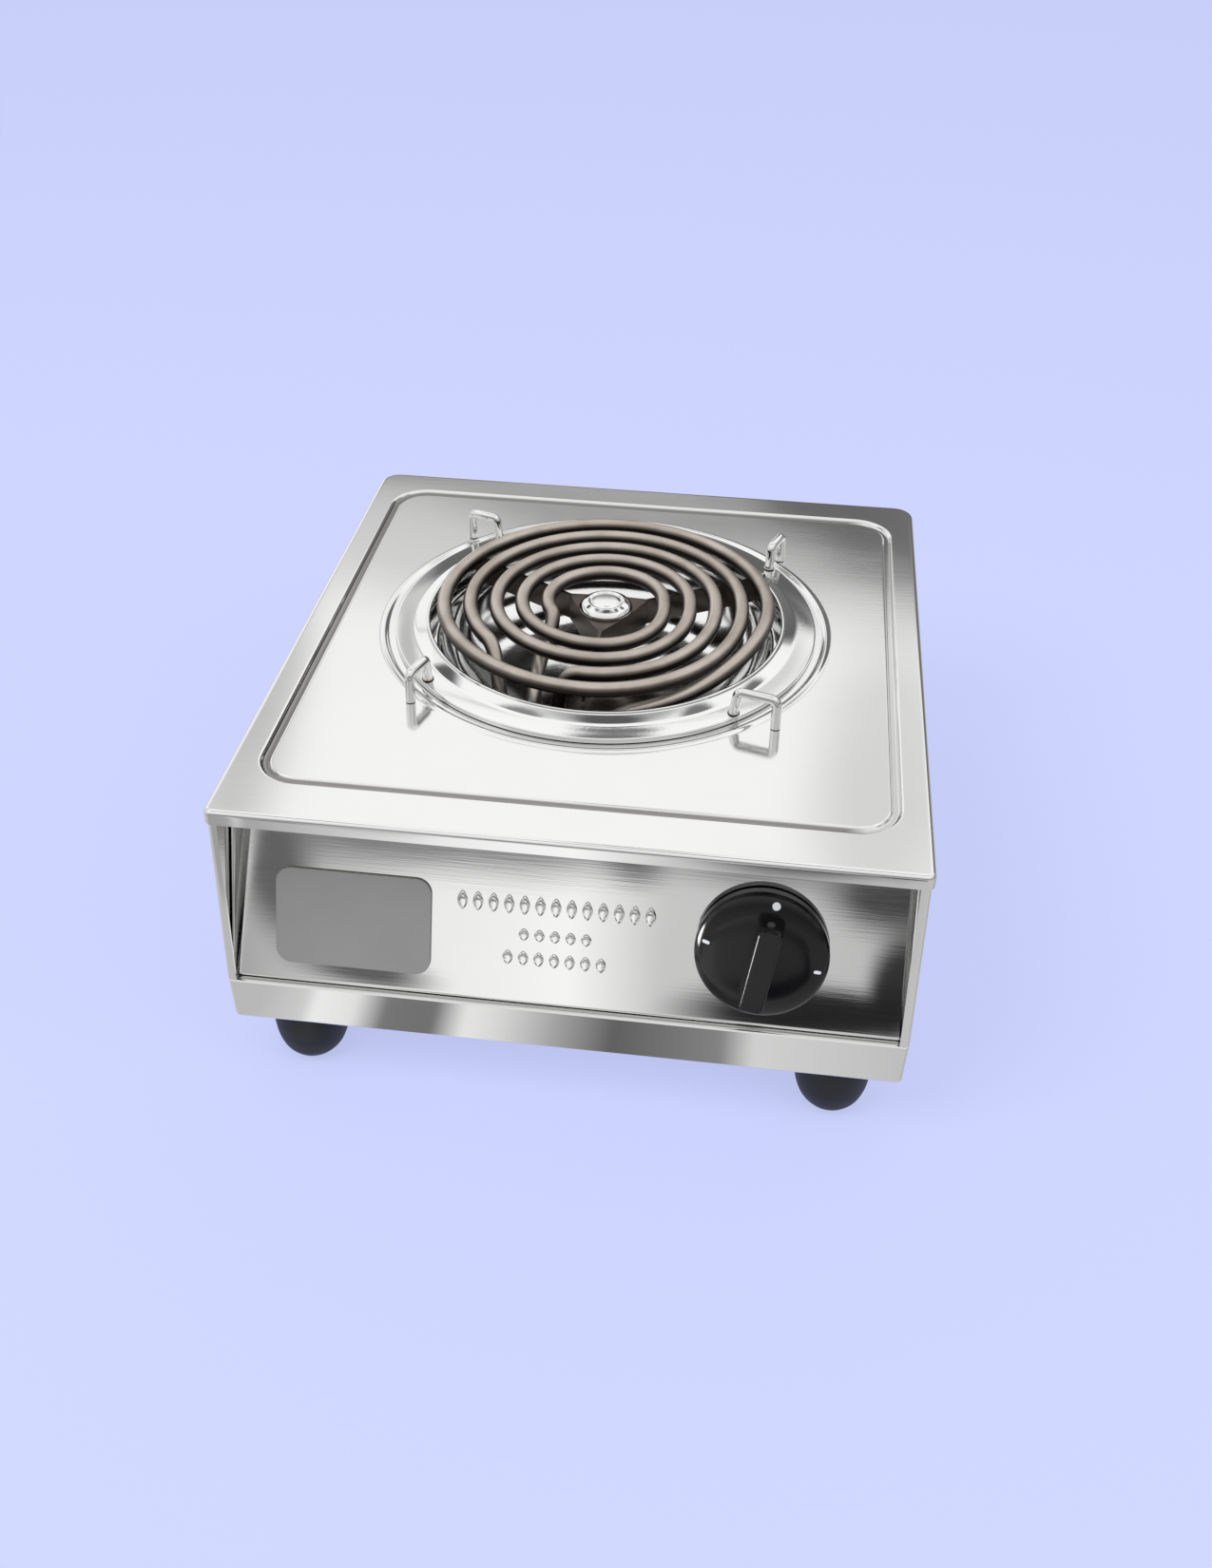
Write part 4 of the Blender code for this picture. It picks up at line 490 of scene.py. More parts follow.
def finished(name, shape, material, body="stove", stands_for=(), slot=None, sharp=30, weighted=False):
    """Makes a bmesh or a mesh into one piece of the dressed model."""
    mesh = settled(name, shape) if isinstance(shape, bmesh.types.BMesh) else shape
    mesh.shade_smooth()
    mesh.set_sharp_from_angle(angle=radians(sharp))
    mesh.materials.clear()
    mesh.materials.append(material)
    piece = linked(name, mesh)
    if weighted:
        piece.modifiers.new("even_normals", "WEIGHTED_NORMAL").keep_sharp = True
    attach(piece, body)
    if stands_for:
        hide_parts(*stands_for)
    return piece


def sheet_piece(name, shape, material, node):
    """A piece of polished sheet, which stands for one CAD node."""
    return finished(name, shape, material, stands_for=[node], slot="polished_steel", weighted=True)


def carved(shape, tools, operation="DIFFERENCE"):
    """A bmesh cut by, or joined with, others; the result is a plain mesh."""
    whole, *helpers = [linked("carrier", settled("carrier", part)) for part in (shape, *tools)]
    for helper in helpers:
        modifier = whole.modifiers.new("carve", "BOOLEAN")
        modifier.operation = operation
        modifier.solver = "EXACT"
        modifier.object = helper
    mesh = evaluated(whole)
    for thing in [whole, *helpers]:
        old = thing.data
        bpy.data.objects.remove(thing)
        bpy.data.meshes.remove(old)
    return mesh


# %% [markdown]
# ## The top plate
# The plate is pressed from one sheet: a lip folded down all round, a flat rim, a groove that
# catches spills, a large flat panel, and a raised bead round the burner's opening. Each of those
# is a loop round the plate at some distance and height, so the section is written once and the
# loops change from a rounded rectangle outside to a circle inside. Points on the straight sides
# lie on rays from the burner's centre, which keeps the faces between them even.

# %% Loops round the plate
ring_low, ring_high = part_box("pan_ring")
BURNER = Vector(((ring_low.x + ring_high.x) / 2, (ring_low.y + ring_high.y) / 2, 0))
PANEL_DROP = 0.0005
SURFACE = PLATE_TOP - PANEL_DROP


def fan(start, end, about, steps):
    """The inner points of a straight side, where evenly turned rays from a point meet it."""
    first = atan2(start[1] - about[1], start[0] - about[0])
    last = atan2(end[1] - about[1], end[0] - about[0])
    if last < first:
        last += 2 * pi
    along = Vector((end[0] - start[0], end[1] - start[1]))
    offset = Vector((about[0] - start[0], about[1] - start[1]))
    points = []
    for k in range(1, steps):
        angle = first + (last - first) * k / steps
        ray = Vector((cos(angle), sin(angle)))
        share = (offset.x * ray.y - offset.y * ray.x) / (along.x * ray.y - along.y * ray.x)
        points.append((start[0] + share * along.x, start[1] + share * along.y))
    return points


def rounded(low, high, low_corner, high_corner, about=(0, 0), arc_steps=10, side_steps=1):
    """A rounded rectangle, anticlockwise, with one radius at its low and one at its high side."""
    corners = (
        (high[0] - low_corner, low[1] + low_corner, low_corner, -90),
        (high[0] - high_corner, high[1] - high_corner, high_corner, 0),
        (low[0] + high_corner, high[1] - high_corner, high_corner, 90),
        (low[0] + low_corner, low[1] + low_corner, low_corner, 180),
    )
    arcs = [arc((x, y), radius, start, start + 90, arc_steps) for x, y, radius, start in corners]
    points = []
    for here, following in zip(arcs, arcs[1:] + arcs[:1]):
        points += here
        points += fan(here[-1], following[0], about, side_steps)
    return points


FRONT_CORNER = 0.0035
BACK_CORNER = 0.0095
GROOVE_CORNER = 0.018
GROOVE_MARGINS = (0.0115, 0.0225, 0.0175)
SIDE_STEPS = 26


def plate_loop(inset, height):
    """A loop so far in from the plate's edge."""
    outline = rounded(
        (plate_low.x + inset, plate_low.y + inset),
        (plate_high.x - inset, plate_high.y - inset),
        FRONT_CORNER - min(inset, 0.9 * FRONT_CORNER),
        BACK_CORNER - inset,
        BURNER,
        side_steps=SIDE_STEPS,
    )
    return level(outline, PLATE_TOP + height)


def groove_loop(inset, height):
    """A loop so far in from the groove's outer side."""
    side, front, back = GROOVE_MARGINS
    outline = rounded(
        (plate_low.x + side + inset, plate_low.y + front + inset),
        (plate_high.x - side - inset, plate_high.y - back - inset),
        GROOVE_CORNER - inset,
        GROOVE_CORNER - inset,
        BURNER,
        side_steps=SIDE_STEPS,
    )
    return level(outline, PLATE_TOP + height)


# %% The plate's section
SHEET = 0.0008
LIP_HEIGHT = 0.0060
LIP_FOLD = 0.0019
GROOVE_WALL = 0.0015
GROOVE_FLOOR = 0.0018
GROOVE_DEPTH = 0.0015
RIB_RADIUS = 0.1008
RIB_HALF_WIDTH = 0.0021
RIB_HEIGHT = 0.0011
OPENING_RADIUS = 0.0878
OPENING_TURN_DOWN = 0.003
HOLD = 0.0006


def eased(share):
    """A share from 0 to 1 that starts and ends gently."""
    held = min(max(share, 0), 1)
    return held * held * (3 - 2 * held)


groove_width = 2 * GROOVE_WALL + GROOVE_FLOOR
groove_inner = groove_loop(groove_width, -PANEL_DROP)
rays = [atan2(p.y - BURNER.y, p.x - BURNER.x) for p in groove_inner]


def burner_loop(radius, height):
    """A circle round the burner, its points on the same rays as the panel's."""
    outline = [(BURNER.x + radius * cos(ray), BURNER.y + radius * sin(ray)) for ray in rays]
    return level(outline, PLATE_TOP + height)


WALL_STEPS = 6
stations = [(plate_loop, LIP_FOLD, 0), (plate_loop, LIP_FOLD + HOLD, 0), (groove_loop, -HOLD, 0)]
for k in range(WALL_STEPS + 1):
    fall = GROOVE_DEPTH * eased(k / WALL_STEPS)
    stations.append((groove_loop, GROOVE_WALL * k / WALL_STEPS, -fall))
for k in range(WALL_STEPS + 1):
    rise = (GROOVE_DEPTH - PANEL_DROP) * eased(k / WALL_STEPS)
    inset = GROOVE_WALL + GROOVE_FLOOR + GROOVE_WALL * k / WALL_STEPS
    stations.append((groove_loop, inset, -GROOVE_DEPTH + rise))
stations.append((groove_loop, groove_width + HOLD, -PANEL_DROP))
stations.append((burner_loop, RIB_RADIUS + RIB_HALF_WIDTH + HOLD, -PANEL_DROP))
RIB_STEPS = 10
for k in range(RIB_STEPS + 1):
    across = 1 - 2 * k / RIB_STEPS
    crest = RIB_HEIGHT * (0.5 + 0.5 * cos(pi * across))
    stations.append((burner_loop, RIB_RADIUS + RIB_HALF_WIDTH * across, -PANEL_DROP + crest))
stations.append((burner_loop, RIB_RADIUS - RIB_HALF_WIDTH - HOLD, -PANEL_DROP))
EDGE_RADIUS = 0.0012
for x, y in arc((OPENING_RADIUS + EDGE_RADIUS, -EDGE_RADIUS), EDGE_RADIUS, 90, 180, 5):
    stations.append((burner_loop, x, -PANEL_DROP + y))

lip = [plate_loop(0, -LIP_HEIGHT)]
lip += [plate_loop(LIP_FOLD + x, -LIP_FOLD + y) for x, y in arc((0, 0), LIP_FOLD, 180, 90, 6)][:-1]
top = [make(inset, height) for make, inset, height in stations]
turn_down = [
    burner_loop(OPENING_RADIUS, -PANEL_DROP - OPENING_TURN_DOWN),
    burner_loop(OPENING_RADIUS + SHEET, -PANEL_DROP - OPENING_TURN_DOWN),
]
underside = [make(inset, height - SHEET) for make, inset, height in reversed(stations[:-5])]
lip_inside = [plate_loop(SHEET, -LIP_FOLD), plate_loop(SHEET, -LIP_HEIGHT)]
plate_shape = skin(lip + top + turn_down + underside + lip_inside, ring=True)
sheet_piece("pressed_top_plate", plate_shape, plate_steel, "top_plate")
print("top plate loops:", len(lip) + len(top), "points in a loop:", len(rays))

# %% [markdown]
# ## The body
# Sides and back are one folded sheet, open to the front, with a narrow return down each side. It
# is drawn as a path seen from above, outside and inside, and each step of the path becomes one
# slim loop. The holes for the tray's screws and the cord's inlet are then cut through it.

# %% Body wrap
wrap_low, wrap_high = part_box("body_wrap")
panel_low, panel_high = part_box("front_panel")
CLEARANCE = 0.0003
BODY_SHEET = 0.0010
WRAP_FLANGE = 0.0040
HALF_X = wrap_high.x
HALF_Y = (wrap_high.y - wrap_low.y) / 2
MIDDLE = Vector((0, PLATE_CENTRE.y, 0))
WRAP_CORNERS = (FRONT_CORNER - SHEET - CLEARANCE, BACK_CORNER - SHEET - CLEARANCE)


def wrap_path(inset):
    """The wall seen from above, from one front return round the back to the other."""
    path = [(-HALF_X + WRAP_FLANGE, -HALF_Y + inset)]
    corners = ((-1, -1, 0, 270), (-1, 1, 1, 180), (1, 1, 1, 90), (1, -1, 0, 0))
    for x, y, which, start in corners:
        radius = WRAP_CORNERS[which]
        centre = (x * (HALF_X - radius), y * (HALF_Y - radius))
        path += arc(centre, radius - inset, start, start - 90, 12)
    path.append((HALF_X - WRAP_FLANGE, -HALF_Y + inset))
    return path


def drill(radius, reach, sides=32):
    """A round cutter along Z, as far below as above."""
    return skin([level(circle(radius, sides), -reach), level(circle(radius, sides), reach)])


wrap_loops = [
    [
        Vector((*outside, wrap_low.z)),
        Vector((*outside, wrap_high.z)),
        Vector((*inside, wrap_high.z)),
        Vector((*inside, wrap_low.z)),
    ]
    for outside, inside in zip(wrap_path(0), wrap_path(BODY_SHEET))
]
SCREW_HOLE = 0.0022
GLAND_HOLE = 0.0083
THROUGH = 0.006
holes = []
for node in four("tray_screw"):
    screw_at = middle_of(node)
    wall = HALF_X if screw_at.x > 0 else -HALF_X
    hole = drill(SCREW_HOLE, THROUGH)
    holes.append(moved(hole, (wall, screw_at.y, screw_at.z), turn_about("Y", 90)))
GLAND = middle_of("cord_gland")
INLET = (GLAND.x, wrap_high.y, GLAND.z)
holes.append(moved(drill(GLAND_HOLE, THROUGH), INLET, turn_about("X", 90)))
wrap = carved(moved(skin(wrap_loops), MIDDLE), holes)
sheet_piece("folded_body", wrap, side_steel, "body_wrap")
print("body wrap:", len(wrap.polygons), "faces")

# %% [markdown]
# The front panel is a shallow pan set back between the body's returns, and it leans back towards
# its top. The knob's joint tells where the axis meets it and how far it leans. Its face curves back
# along all four edges into a return, which is what catches the dark lines round the panel. A round
# hole lets the switch's shaft through.

# %% Front panel
PANEL_FOLD = 0.0016
PANEL_RETURN = 0.0085
BUSH_HOLE = 0.005
turning = next(joint for joint in frame["joints"] if joint["name"] == "knob_turn")
AXIS = Vector(turning["pos_m"])
TILT = asin(turning["axis"][2])
LEAN = Matrix.Rotation(pi / 2 - TILT, 4, "X")
STAND = Matrix.Translation(AXIS) @ LEAN


def on_panel(x, z, proud=0):
    """A point of the leaning panel's face, or a little proud of it."""
    return Vector((x, AXIS.y + (z - AXIS.z) * tan(TILT) - proud * cos(TILT), z + proud * sin(TILT)))


def panel_loop(inset, depth):
    """A loop so far in from the panel's edges, and so far behind its face."""
    corner = PANEL_FOLD + BODY_SHEET - min(inset, PANEL_FOLD)
    low = (panel_low.x + inset, panel_low.z + inset)
    high = (panel_high.x - inset, panel_high.z - inset)
    return [on_panel(x, z) + Vector((0, depth, 0)) for x, z in rounded(low, high, corner, corner)]


bend = arc((PANEL_FOLD, PANEL_FOLD), PANEL_FOLD, 270, 180, 6)
panel_loops = [panel_loop(PANEL_FOLD + HOLD, 0)] + [panel_loop(x, y) for x, y in bend]
panel_loops += [
    panel_loop(0, PANEL_RETURN),
    panel_loop(BODY_SHEET, PANEL_RETURN),
    panel_loop(BODY_SHEET, PANEL_FOLD),
    panel_loop(PANEL_FOLD, BODY_SHEET),
]
bush = moved(drill(BUSH_HOLE, 0.004), AXIS, LEAN)
panel = carved(skin(panel_loops), [bush])
sheet_piece("front_sheet", panel, panel_steel, "front_panel")
print("knob axis at", [round(v, 4) for v in AXIS])

# %% [markdown]
# The base tray closes the body from below. It tapers to a rounded bottom edge, carries the walls
# on a shelf and hooks inside them with an upstand. Slots in its floor let air through.

# %% Base tray
tray_low, tray_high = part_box("base_tray")
TRAY_TOP = wrap_low.z - CLEARANCE
TRAY_FOLD = 0.0018
TRAY_TAPER = 0.0010
PANEL_SETBACK = 0.0026
SIDE_SHELF = BODY_SHEET + CLEARANCE
FRONT_SHELF = PANEL_SETBACK + PANEL_RETURN + CLEARANCE + (tray_high.z - TRAY_TOP) * tan(TILT)
EDGE_INSET = 0.0001
EDGE_BREAK = 0.0005


def tray_loop(height, side, front=None):
    """The tray at one height, so far inside the body's sides and back, and its front."""
    front = side if front is None else front
    outline = rounded(
        (-HALF_X + side, -HALF_Y + front),
        (HALF_X - side, HALF_Y - side),
        WRAP_CORNERS[0],
        WRAP_CORNERS[1] - min(side, WRAP_CORNERS[1] / 2),
        side_steps=6,
    )
    return level(outline, height)


FLOOR = tray_low.z
hem = arc((TRAY_TAPER + TRAY_FOLD, FLOOR + TRAY_FOLD), TRAY_FOLD, 270, 180, 6)
tray_loops = [tray_loop(FLOOR, TRAY_TAPER + TRAY_FOLD + HOLD)]
tray_loops += [tray_loop(z, inset) for inset, z in hem]
tray_loops += [
    tray_loop(TRAY_TOP - EDGE_BREAK, EDGE_INSET),
    tray_loop(TRAY_TOP, EDGE_INSET + EDGE_BREAK),
    tray_loop(TRAY_TOP, SIDE_SHELF, FRONT_SHELF),
    tray_loop(tray_high.z, SIDE_SHELF, FRONT_SHELF),
    tray_loop(tray_high.z, SIDE_SHELF + BODY_SHEET, FRONT_SHELF + BODY_SHEET),
    tray_loop(TRAY_TOP - BODY_SHEET, SIDE_SHELF + BODY_SHEET, FRONT_SHELF + BODY_SHEET),
    tray_loop(TRAY_TOP - BODY_SHEET, BODY_SHEET),
    tray_loop(FLOOR + TRAY_FOLD, TRAY_TAPER + BODY_SHEET),
    tray_loop(FLOOR + BODY_SHEET, TRAY_TAPER + TRAY_FOLD),
]
VENT_LENGTH = 0.046
VENT_WIDTH = 0.0050
VENT_PITCH = 0.013
VENT_ROW = 0.034
VENTS_IN_ROW = 6
cuts = []
for row in (-1, 1):
    for k in range(VENTS_IN_ROW):
        x = BURNER.x + (k - (VENTS_IN_ROW - 1) / 2) * VENT_PITCH
        y = BURNER.y + row * VENT_ROW
        reach = VENT_LENGTH / 2 - VENT_WIDTH / 2
        outline = arc((x, y + reach), VENT_WIDTH / 2, 0, 180, 10)
        outline += arc((x, y - reach), VENT_WIDTH / 2, 180, 360, 10)
        cuts.append(skin([level(outline, FLOOR - 0.003), level(outline, FLOOR + 0.004)]))
tray = carved(moved(skin(tray_loops), MIDDLE), cuts)
sheet_piece("base_pan", tray, tray_steel, "base_tray")
print("base tray:", len(tray.polygons), "faces")

# %% [markdown]
# The nameplate is a thin punched plate with round corners. Its edge is slightly rolled over, so it
# catches a fine light line. Three rows of small raised lozenges stand on the panel beside it.

# %% Nameplate
name_low, name_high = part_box("nameplate")
NAME_HEIGHT = 0.0420
NAME_HALF = Vector((name_high.x - name_low.x, NAME_HEIGHT)) / 2
NAME_DROP = 0.0576
NAME_THICKNESS = 0.0009
NAME_CORNER = 0.0065
NAME_EDGE = 0.0004
NAME_HOLD = 0.0008


def name_loop(inset, depth):
    """A loop so far in from the nameplate's edge, and so far in front of its back."""
    corner = NAME_CORNER - inset
    reach = NAME_HALF - Vector((inset, inset))
    return [Vector((x, -depth, z)) for x, z in rounded(-reach, reach, corner, corner, arc_steps=14)]


roll = arc((NAME_EDGE, NAME_THICKNESS - NAME_EDGE), NAME_EDGE, 180, 90, 4)
name_loops = [name_loop(0, 0)] + [name_loop(x, y) for x, y in roll]
name_loops.append(name_loop(NAME_EDGE + NAME_HOLD, NAME_THICKNESS))
name_place = on_panel((name_low.x + name_high.x) / 2, PLATE_TOP - NAME_DROP, CLEARANCE)
name_shape = moved(skin(name_loops), name_place, Matrix.Rotation(-TILT, 4, "X"))
finished(
    "bare_nameplate",
    name_shape,
    plate_grey,
    stands_for=["nameplate"],
    slot="nameplate_grey",
    weighted=True,
)

# %% [markdown]
# Copies of one small shape are a task for Geometry Nodes. The tree takes the points of a carrier
# mesh, sets a copy of a template on each, turned by the point's own `turn`, and makes it all real.
# A second tree sweeps a circle along a carrier's edges, for every rod, tube and wire of the stove.

# %% Two trees: copies on points, and a rod along a path
def geometry_tree(name, wanted, build):
    """A Geometry Nodes tree with named inputs, which ends in Realize Instances and Set Material."""
    tree = bpy.data.node_groups.new(name, "GeometryNodeTree")
    tree.interface.new_socket("Geometry", in_out="INPUT", socket_type="NodeSocketGeometry")
    for label, kind in wanted:
        tree.interface.new_socket(label, in_out="INPUT", socket_type=kind)
    tree.interface.new_socket("Geometry", in_out="OUTPUT", socket_type="NodeSocketGeometry")
    bench = Bench(tree)
    entry = tree.nodes.new("NodeGroupInput")
    given = {socket.name: Value(bench, socket) for socket in entry.outputs if socket.name}
    whole = bench.node("GeometryNodeRealizeInstances", {}, {"Geometry": build(bench, given)})
    painted = bench.node("GeometryNodeSetMaterial", {}, {"Geometry": whole, "Material": given["Material"]})
    tree.links.new(painted.socket, tree.nodes.new("NodeGroupOutput").inputs["Geometry"])
    return tree


def build_copies(bench, given):
    piece = bench.node("GeometryNodeObjectInfo", {}, {"Object": given["Template"]}, out="Geometry")
    turn = bench.node("GeometryNodeInputNamedAttribute", {"data_type": "FLOAT_VECTOR"}, {"Name": "turn"})
    inputs = {"Points": given["Geometry"], "Instance": piece, "Rotation": turn}
    return bench.node("GeometryNodeInstanceOnPoints", {}, inputs)


def build_rod(bench, given):
    path = bench.node("GeometryNodeMeshToCurve", {}, {"Mesh": given["Geometry"]})
    size = {"Resolution": given["Sides"], "Radius": given["Radius"]}
    section = bench.node("GeometryNodeCurvePrimitiveCircle", {}, size)
    inputs = {"Curve": path, "Profile Curve": section, "Fill Caps": True}
    return bench.node("GeometryNodeCurveToMesh", {}, inputs)


MATERIAL_INPUT = ("Material", "NodeSocketMaterial")
COPIES_INPUTS = [("Template", "NodeSocketObject"), MATERIAL_INPUT]
ROD_INPUTS = [("Radius", "NodeSocketFloat"), ("Sides", "NodeSocketInt"), MATERIAL_INPUT]
copies_tree = geometry_tree("copies_on_points", COPIES_INPUTS, build_copies)
rod_tree = geometry_tree("rod_along_path", ROD_INPUTS, build_rod)


def grown(tree, carrier, values):
    """The plain mesh that a tree makes of a carrier mesh, once its named inputs are set."""
    thing = linked("carrier", carrier)
    modifier = thing.modifiers.new("grow", "NODES")
    modifier.node_group = tree
    for item in tree.interface.items_tree:
        if item.in_out == "INPUT" and item.name in values:
            modifier[item.identifier] = values[item.name]
    mesh = evaluated(thing)
    bpy.data.objects.remove(thing)
    return mesh


def copies(shape, places, material):
    """Copies of a shape at (place, euler turn) pairs, as one mesh."""
    template = bpy.data.objects.new("template", settled("template", shape))
    carrier = bpy.data.meshes.new("places")
    carrier.from_pydata([place for place, turn in places], [], [])
    turns = carrier.attributes.new("turn", "FLOAT_VECTOR", "POINT")
    for item, (where, turn) in zip(turns.data, places):
        item.vector = turn
    made = grown(copies_tree, carrier, {"Template": template, "Material": material})
    bpy.data.objects.remove(template)
    return made


def rod(path, diameter, material, sides=20):
    """A round rod along a path, as one mesh."""
    carrier = bpy.data.meshes.new("path")
    steps = [(k, k + 1) for k in range(len(path) - 1)]
    carrier.from_pydata([tuple(point) for point in path], steps, [])
    return grown(rod_tree, carrier, {"Radius": diameter / 2, "Sides": sides, "Material": material})


# %% [markdown]
# The lozenges are pressed into the panel from behind, at one spacing and in three rows of
# different lengths and heights. Each stands less than a millimetre high, with soft sides that pick
# up dark and light edges from the room.

# %% Raised lozenges on the panel
LOZENGE_WIDTH = 0.0044
LOZENGE_RISE = 0.0008
LOZENGE_PITCH = 0.0063
LOZENGE_ROWS = ((0.0445, 13, 0.0086), (0.0569, 5, 0.0056), (0.0670, 7, 0.0066))
LOZENGES_MIDDLE = -0.0041
LOZENGE_SUNK = 0.00005
ROUNDNESS = 1.5
SHOULDERS = ((1, 0), (0.92, 0.45), (0.78, 0.85), (0.58, 1.0))


def lozenge(height):
    """A raised lozenge with bulging sides, from (share of its outline, share of its rise) steps."""
    loops = []
    for share, rise in SHOULDERS:
        loop = []
        for x, z in circle(1, 24):
            bulge = (abs(x) ** ROUNDNESS + abs(z) ** ROUNDNESS) ** (-1 / ROUNDNESS)
            across = x * bulge * LOZENGE_WIDTH / 2 * share
            loop.append(Vector((across, -LOZENGE_RISE * rise, z * bulge * height / 2 * share)))
        loops.append(loop)
    return skin(loops)


for drop, count, height in LOZENGE_ROWS:
    lozenge_places = []
    for k in range(count):
        x = LOZENGES_MIDDLE + (k - (count - 1) / 2) * LOZENGE_PITCH
        lozenge_places.append((on_panel(x, PLATE_TOP - drop, -LOZENGE_SUNK), (-TILT, 0, 0)))
    row_of_lozenges = copies(lozenge(height), lozenge_places, panel_steel)
    finished(f"lozenge_row_of_{count}", row_of_lozenges, panel_steel, slot="polished_steel", sharp=50)
    print("lozenges in the row:", count)

# %% [markdown]
# ## The burner
# The drip bowl is a deep drawn dish. Its rim lies on the plate, a ledge carries the spider, and
# two windows at the front let the heaters' ends pass. The section is drawn with few points, and
# every corner of it is then rounded, because drawn sheet has no sharp corner.

# %% Sections with rounded corners
def softened(corners, steps=4, ring=False):
    """A section through (x, y, roundness) corners, each rounded off by a short curve."""
    count = len(corners)
    points = []
    for i, (x, y, roundness) in enumerate(corners):
        here = Vector((x, y))
        open_end = not ring and i in (0, count - 1)
        if roundness == 0 or open_end:
            points.append((x, y))
            continue
        before = Vector(corners[i - 1][:2]) - here
        after = Vector(corners[(i + 1) % count][:2]) - here
        reach = min(roundness, 0.48 * before.length, 0.48 * after.length)
        start = here + before.normalized() * reach
        end = here + after.normalized() * reach
        for k in range(steps + 1):
            t = k / steps
            points.append(tuple(start * (1 - t) ** 2 + here * 2 * t * (1 - t) + end * t**2))
    return points


# %% Drip bowl
COIL_RADIUS = 0.0735
LEDGE_RADIUS = COIL_RADIUS + 0.0030
NECK_RADIUS = LEDGE_RADIUS + 0.0075
BOWL_RIM = NECK_RADIUS + 0.0085
BOWL_SHEET = 0.0008
RIM_TOP = CLEARANCE + BOWL_SHEET
LEDGE_DROP = 0.0046
BOWL_DEPTH = 0.0330
WALL_SHARES = ((0.97, 0.22), (0.90, 0.50), (0.76, 0.78), (0.55, 0.95), (0.30, 1.0))
ON_BURNER = Vector((BURNER.x, BURNER.y, SURFACE))


def bowl_section(offset):
    """The bowl's upper side from rim to middle, or a copy of it so far outside."""
    corners = [
        (BOWL_RIM, RIM_TOP - offset, 0.0004),
        (NECK_RADIUS + offset, RIM_TOP - offset, 0.0012),
        (NECK_RADIUS + offset, -LEDGE_DROP - offset, 0.0012),
        (LEDGE_RADIUS + offset, -LEDGE_DROP - offset, 0.0012),
    ]
    for radius_share, depth_share in WALL_SHARES:
        depth = LEDGE_DROP + (BOWL_DEPTH - LEDGE_DROP) * depth_share
        corners.append((LEDGE_RADIUS * radius_share + offset, -depth - offset, 0.009))
    corners.append((0, -BOWL_DEPTH - offset, 0))
    return softened(corners)


bowl_shape = moved(turned(bowl_section(0)[::-1] + bowl_section(BOWL_SHEET), 128), ON_BURNER)
TAIL_FORWARD = COIL_RADIUS - 0.0075
WINDOW_FRONT = -LEDGE_RADIUS - 0.003
WINDOW_BACK = -TAIL_FORWARD + 0.012
WINDOW_HEIGHTS = (-0.040, -LEDGE_DROP / 2)
WINDOWS = ((-0.0425, -0.002), (0.002, 0.0125))


def window(left, right):
    """A cutter for one window in the bowl's front."""
    outline = rounded((left, WINDOW_FRONT), (right, WINDOW_BACK), 0.002, 0.004, arc_steps=5)
    return moved(skin([level(outline, height) for height in WINDOW_HEIGHTS]), ON_BURNER)


bowl = carved(bowl_shape, [window(*sides) for sides in WINDOWS])
sheet_piece("drawn_bowl", bowl, ring_steel, "drip_bowl")
print("bowl:", len(bowl.polygons), "faces")

# %% [markdown]
# The pan ring is spun from one strip: a low flange over the bowl's rim, a crease, a steep collar
# and a rolled bead round its mouth. The bead and the crease give the bright double line in the
# photograph, so both are modelled.

# %% Pan ring
RING_BORE = COIL_RADIUS + 0.0065
COLLAR_FOOT = RING_BORE + 0.0062
RING_RADIUS = COLLAR_FOOT + 0.0096
RING_HEIGHT = 0.0062
RING_SHEET = 0.0010
UNDER = RIM_TOP + CLEARANCE
OVER = UNDER + RING_SHEET
BEAD = 0.0008
CREASE = 0.0006

ring_section = softened(
    [
        (RING_RADIUS, CLEARANCE, 0.0003),
        (RING_RADIUS, OVER, 0.0008),
        (COLLAR_FOOT + CREASE, OVER + CREASE, 0.0012),
        (RING_BORE + 2.2 * BEAD, RING_HEIGHT - 1.2 * BEAD, 0.0006),
        (RING_BORE + 1.9 * BEAD, RING_HEIGHT, 0.0007),
        (RING_BORE + 0.1 * BEAD, RING_HEIGHT, 0.0007),
        (RING_BORE, RING_HEIGHT - 1.9 * BEAD, 0.0005),
        (RING_BORE + 1.1 * BEAD, RING_HEIGHT - 2.2 * BEAD, 0.0003),
        (COLLAR_FOOT - 0.0012, UNDER + 0.0008, 0.0008),
        (RING_RADIUS - RING_SHEET, UNDER, 0.0004),
        (RING_RADIUS - RING_SHEET, CLEARANCE, 0.0003),
    ],
    steps=5,
    ring=True,
)
ring_shape = moved(turned(ring_section, 192, ring=True), ON_BURNER)
finished("spun_pan_ring", ring_shape, ring_steel, "ring", ["pan_ring"], "polished_steel", sharp=60)
print("ring section points:", len(ring_section))

# %% [markdown]
# Four supports are bent from bright wire. Each stands with its leg on the plate, carries the pan
# on its arm and is welded to the ring's flange at its short end, where a small bead of weld stays.
# A path with rounded corners says it all, and the rod tree gives it thickness.

# %% Wire supports
WIRE = 0.0042
ARM_HEIGHT = 0.01368
SUPPORT_BEND = 0.0026
SUPPORT_TURN = radians(27)
SUPPORTS = ((-42.3, 0.0038), (43, 0.0006), (136, 0.0005), (225.6, 0.0008))
FLANGE_TOP = OVER + CREASE
END_RADIUS = RING_RADIUS - 0.0030
END_SLOPE = 0.0015
WELD_SUNK = 0.0004


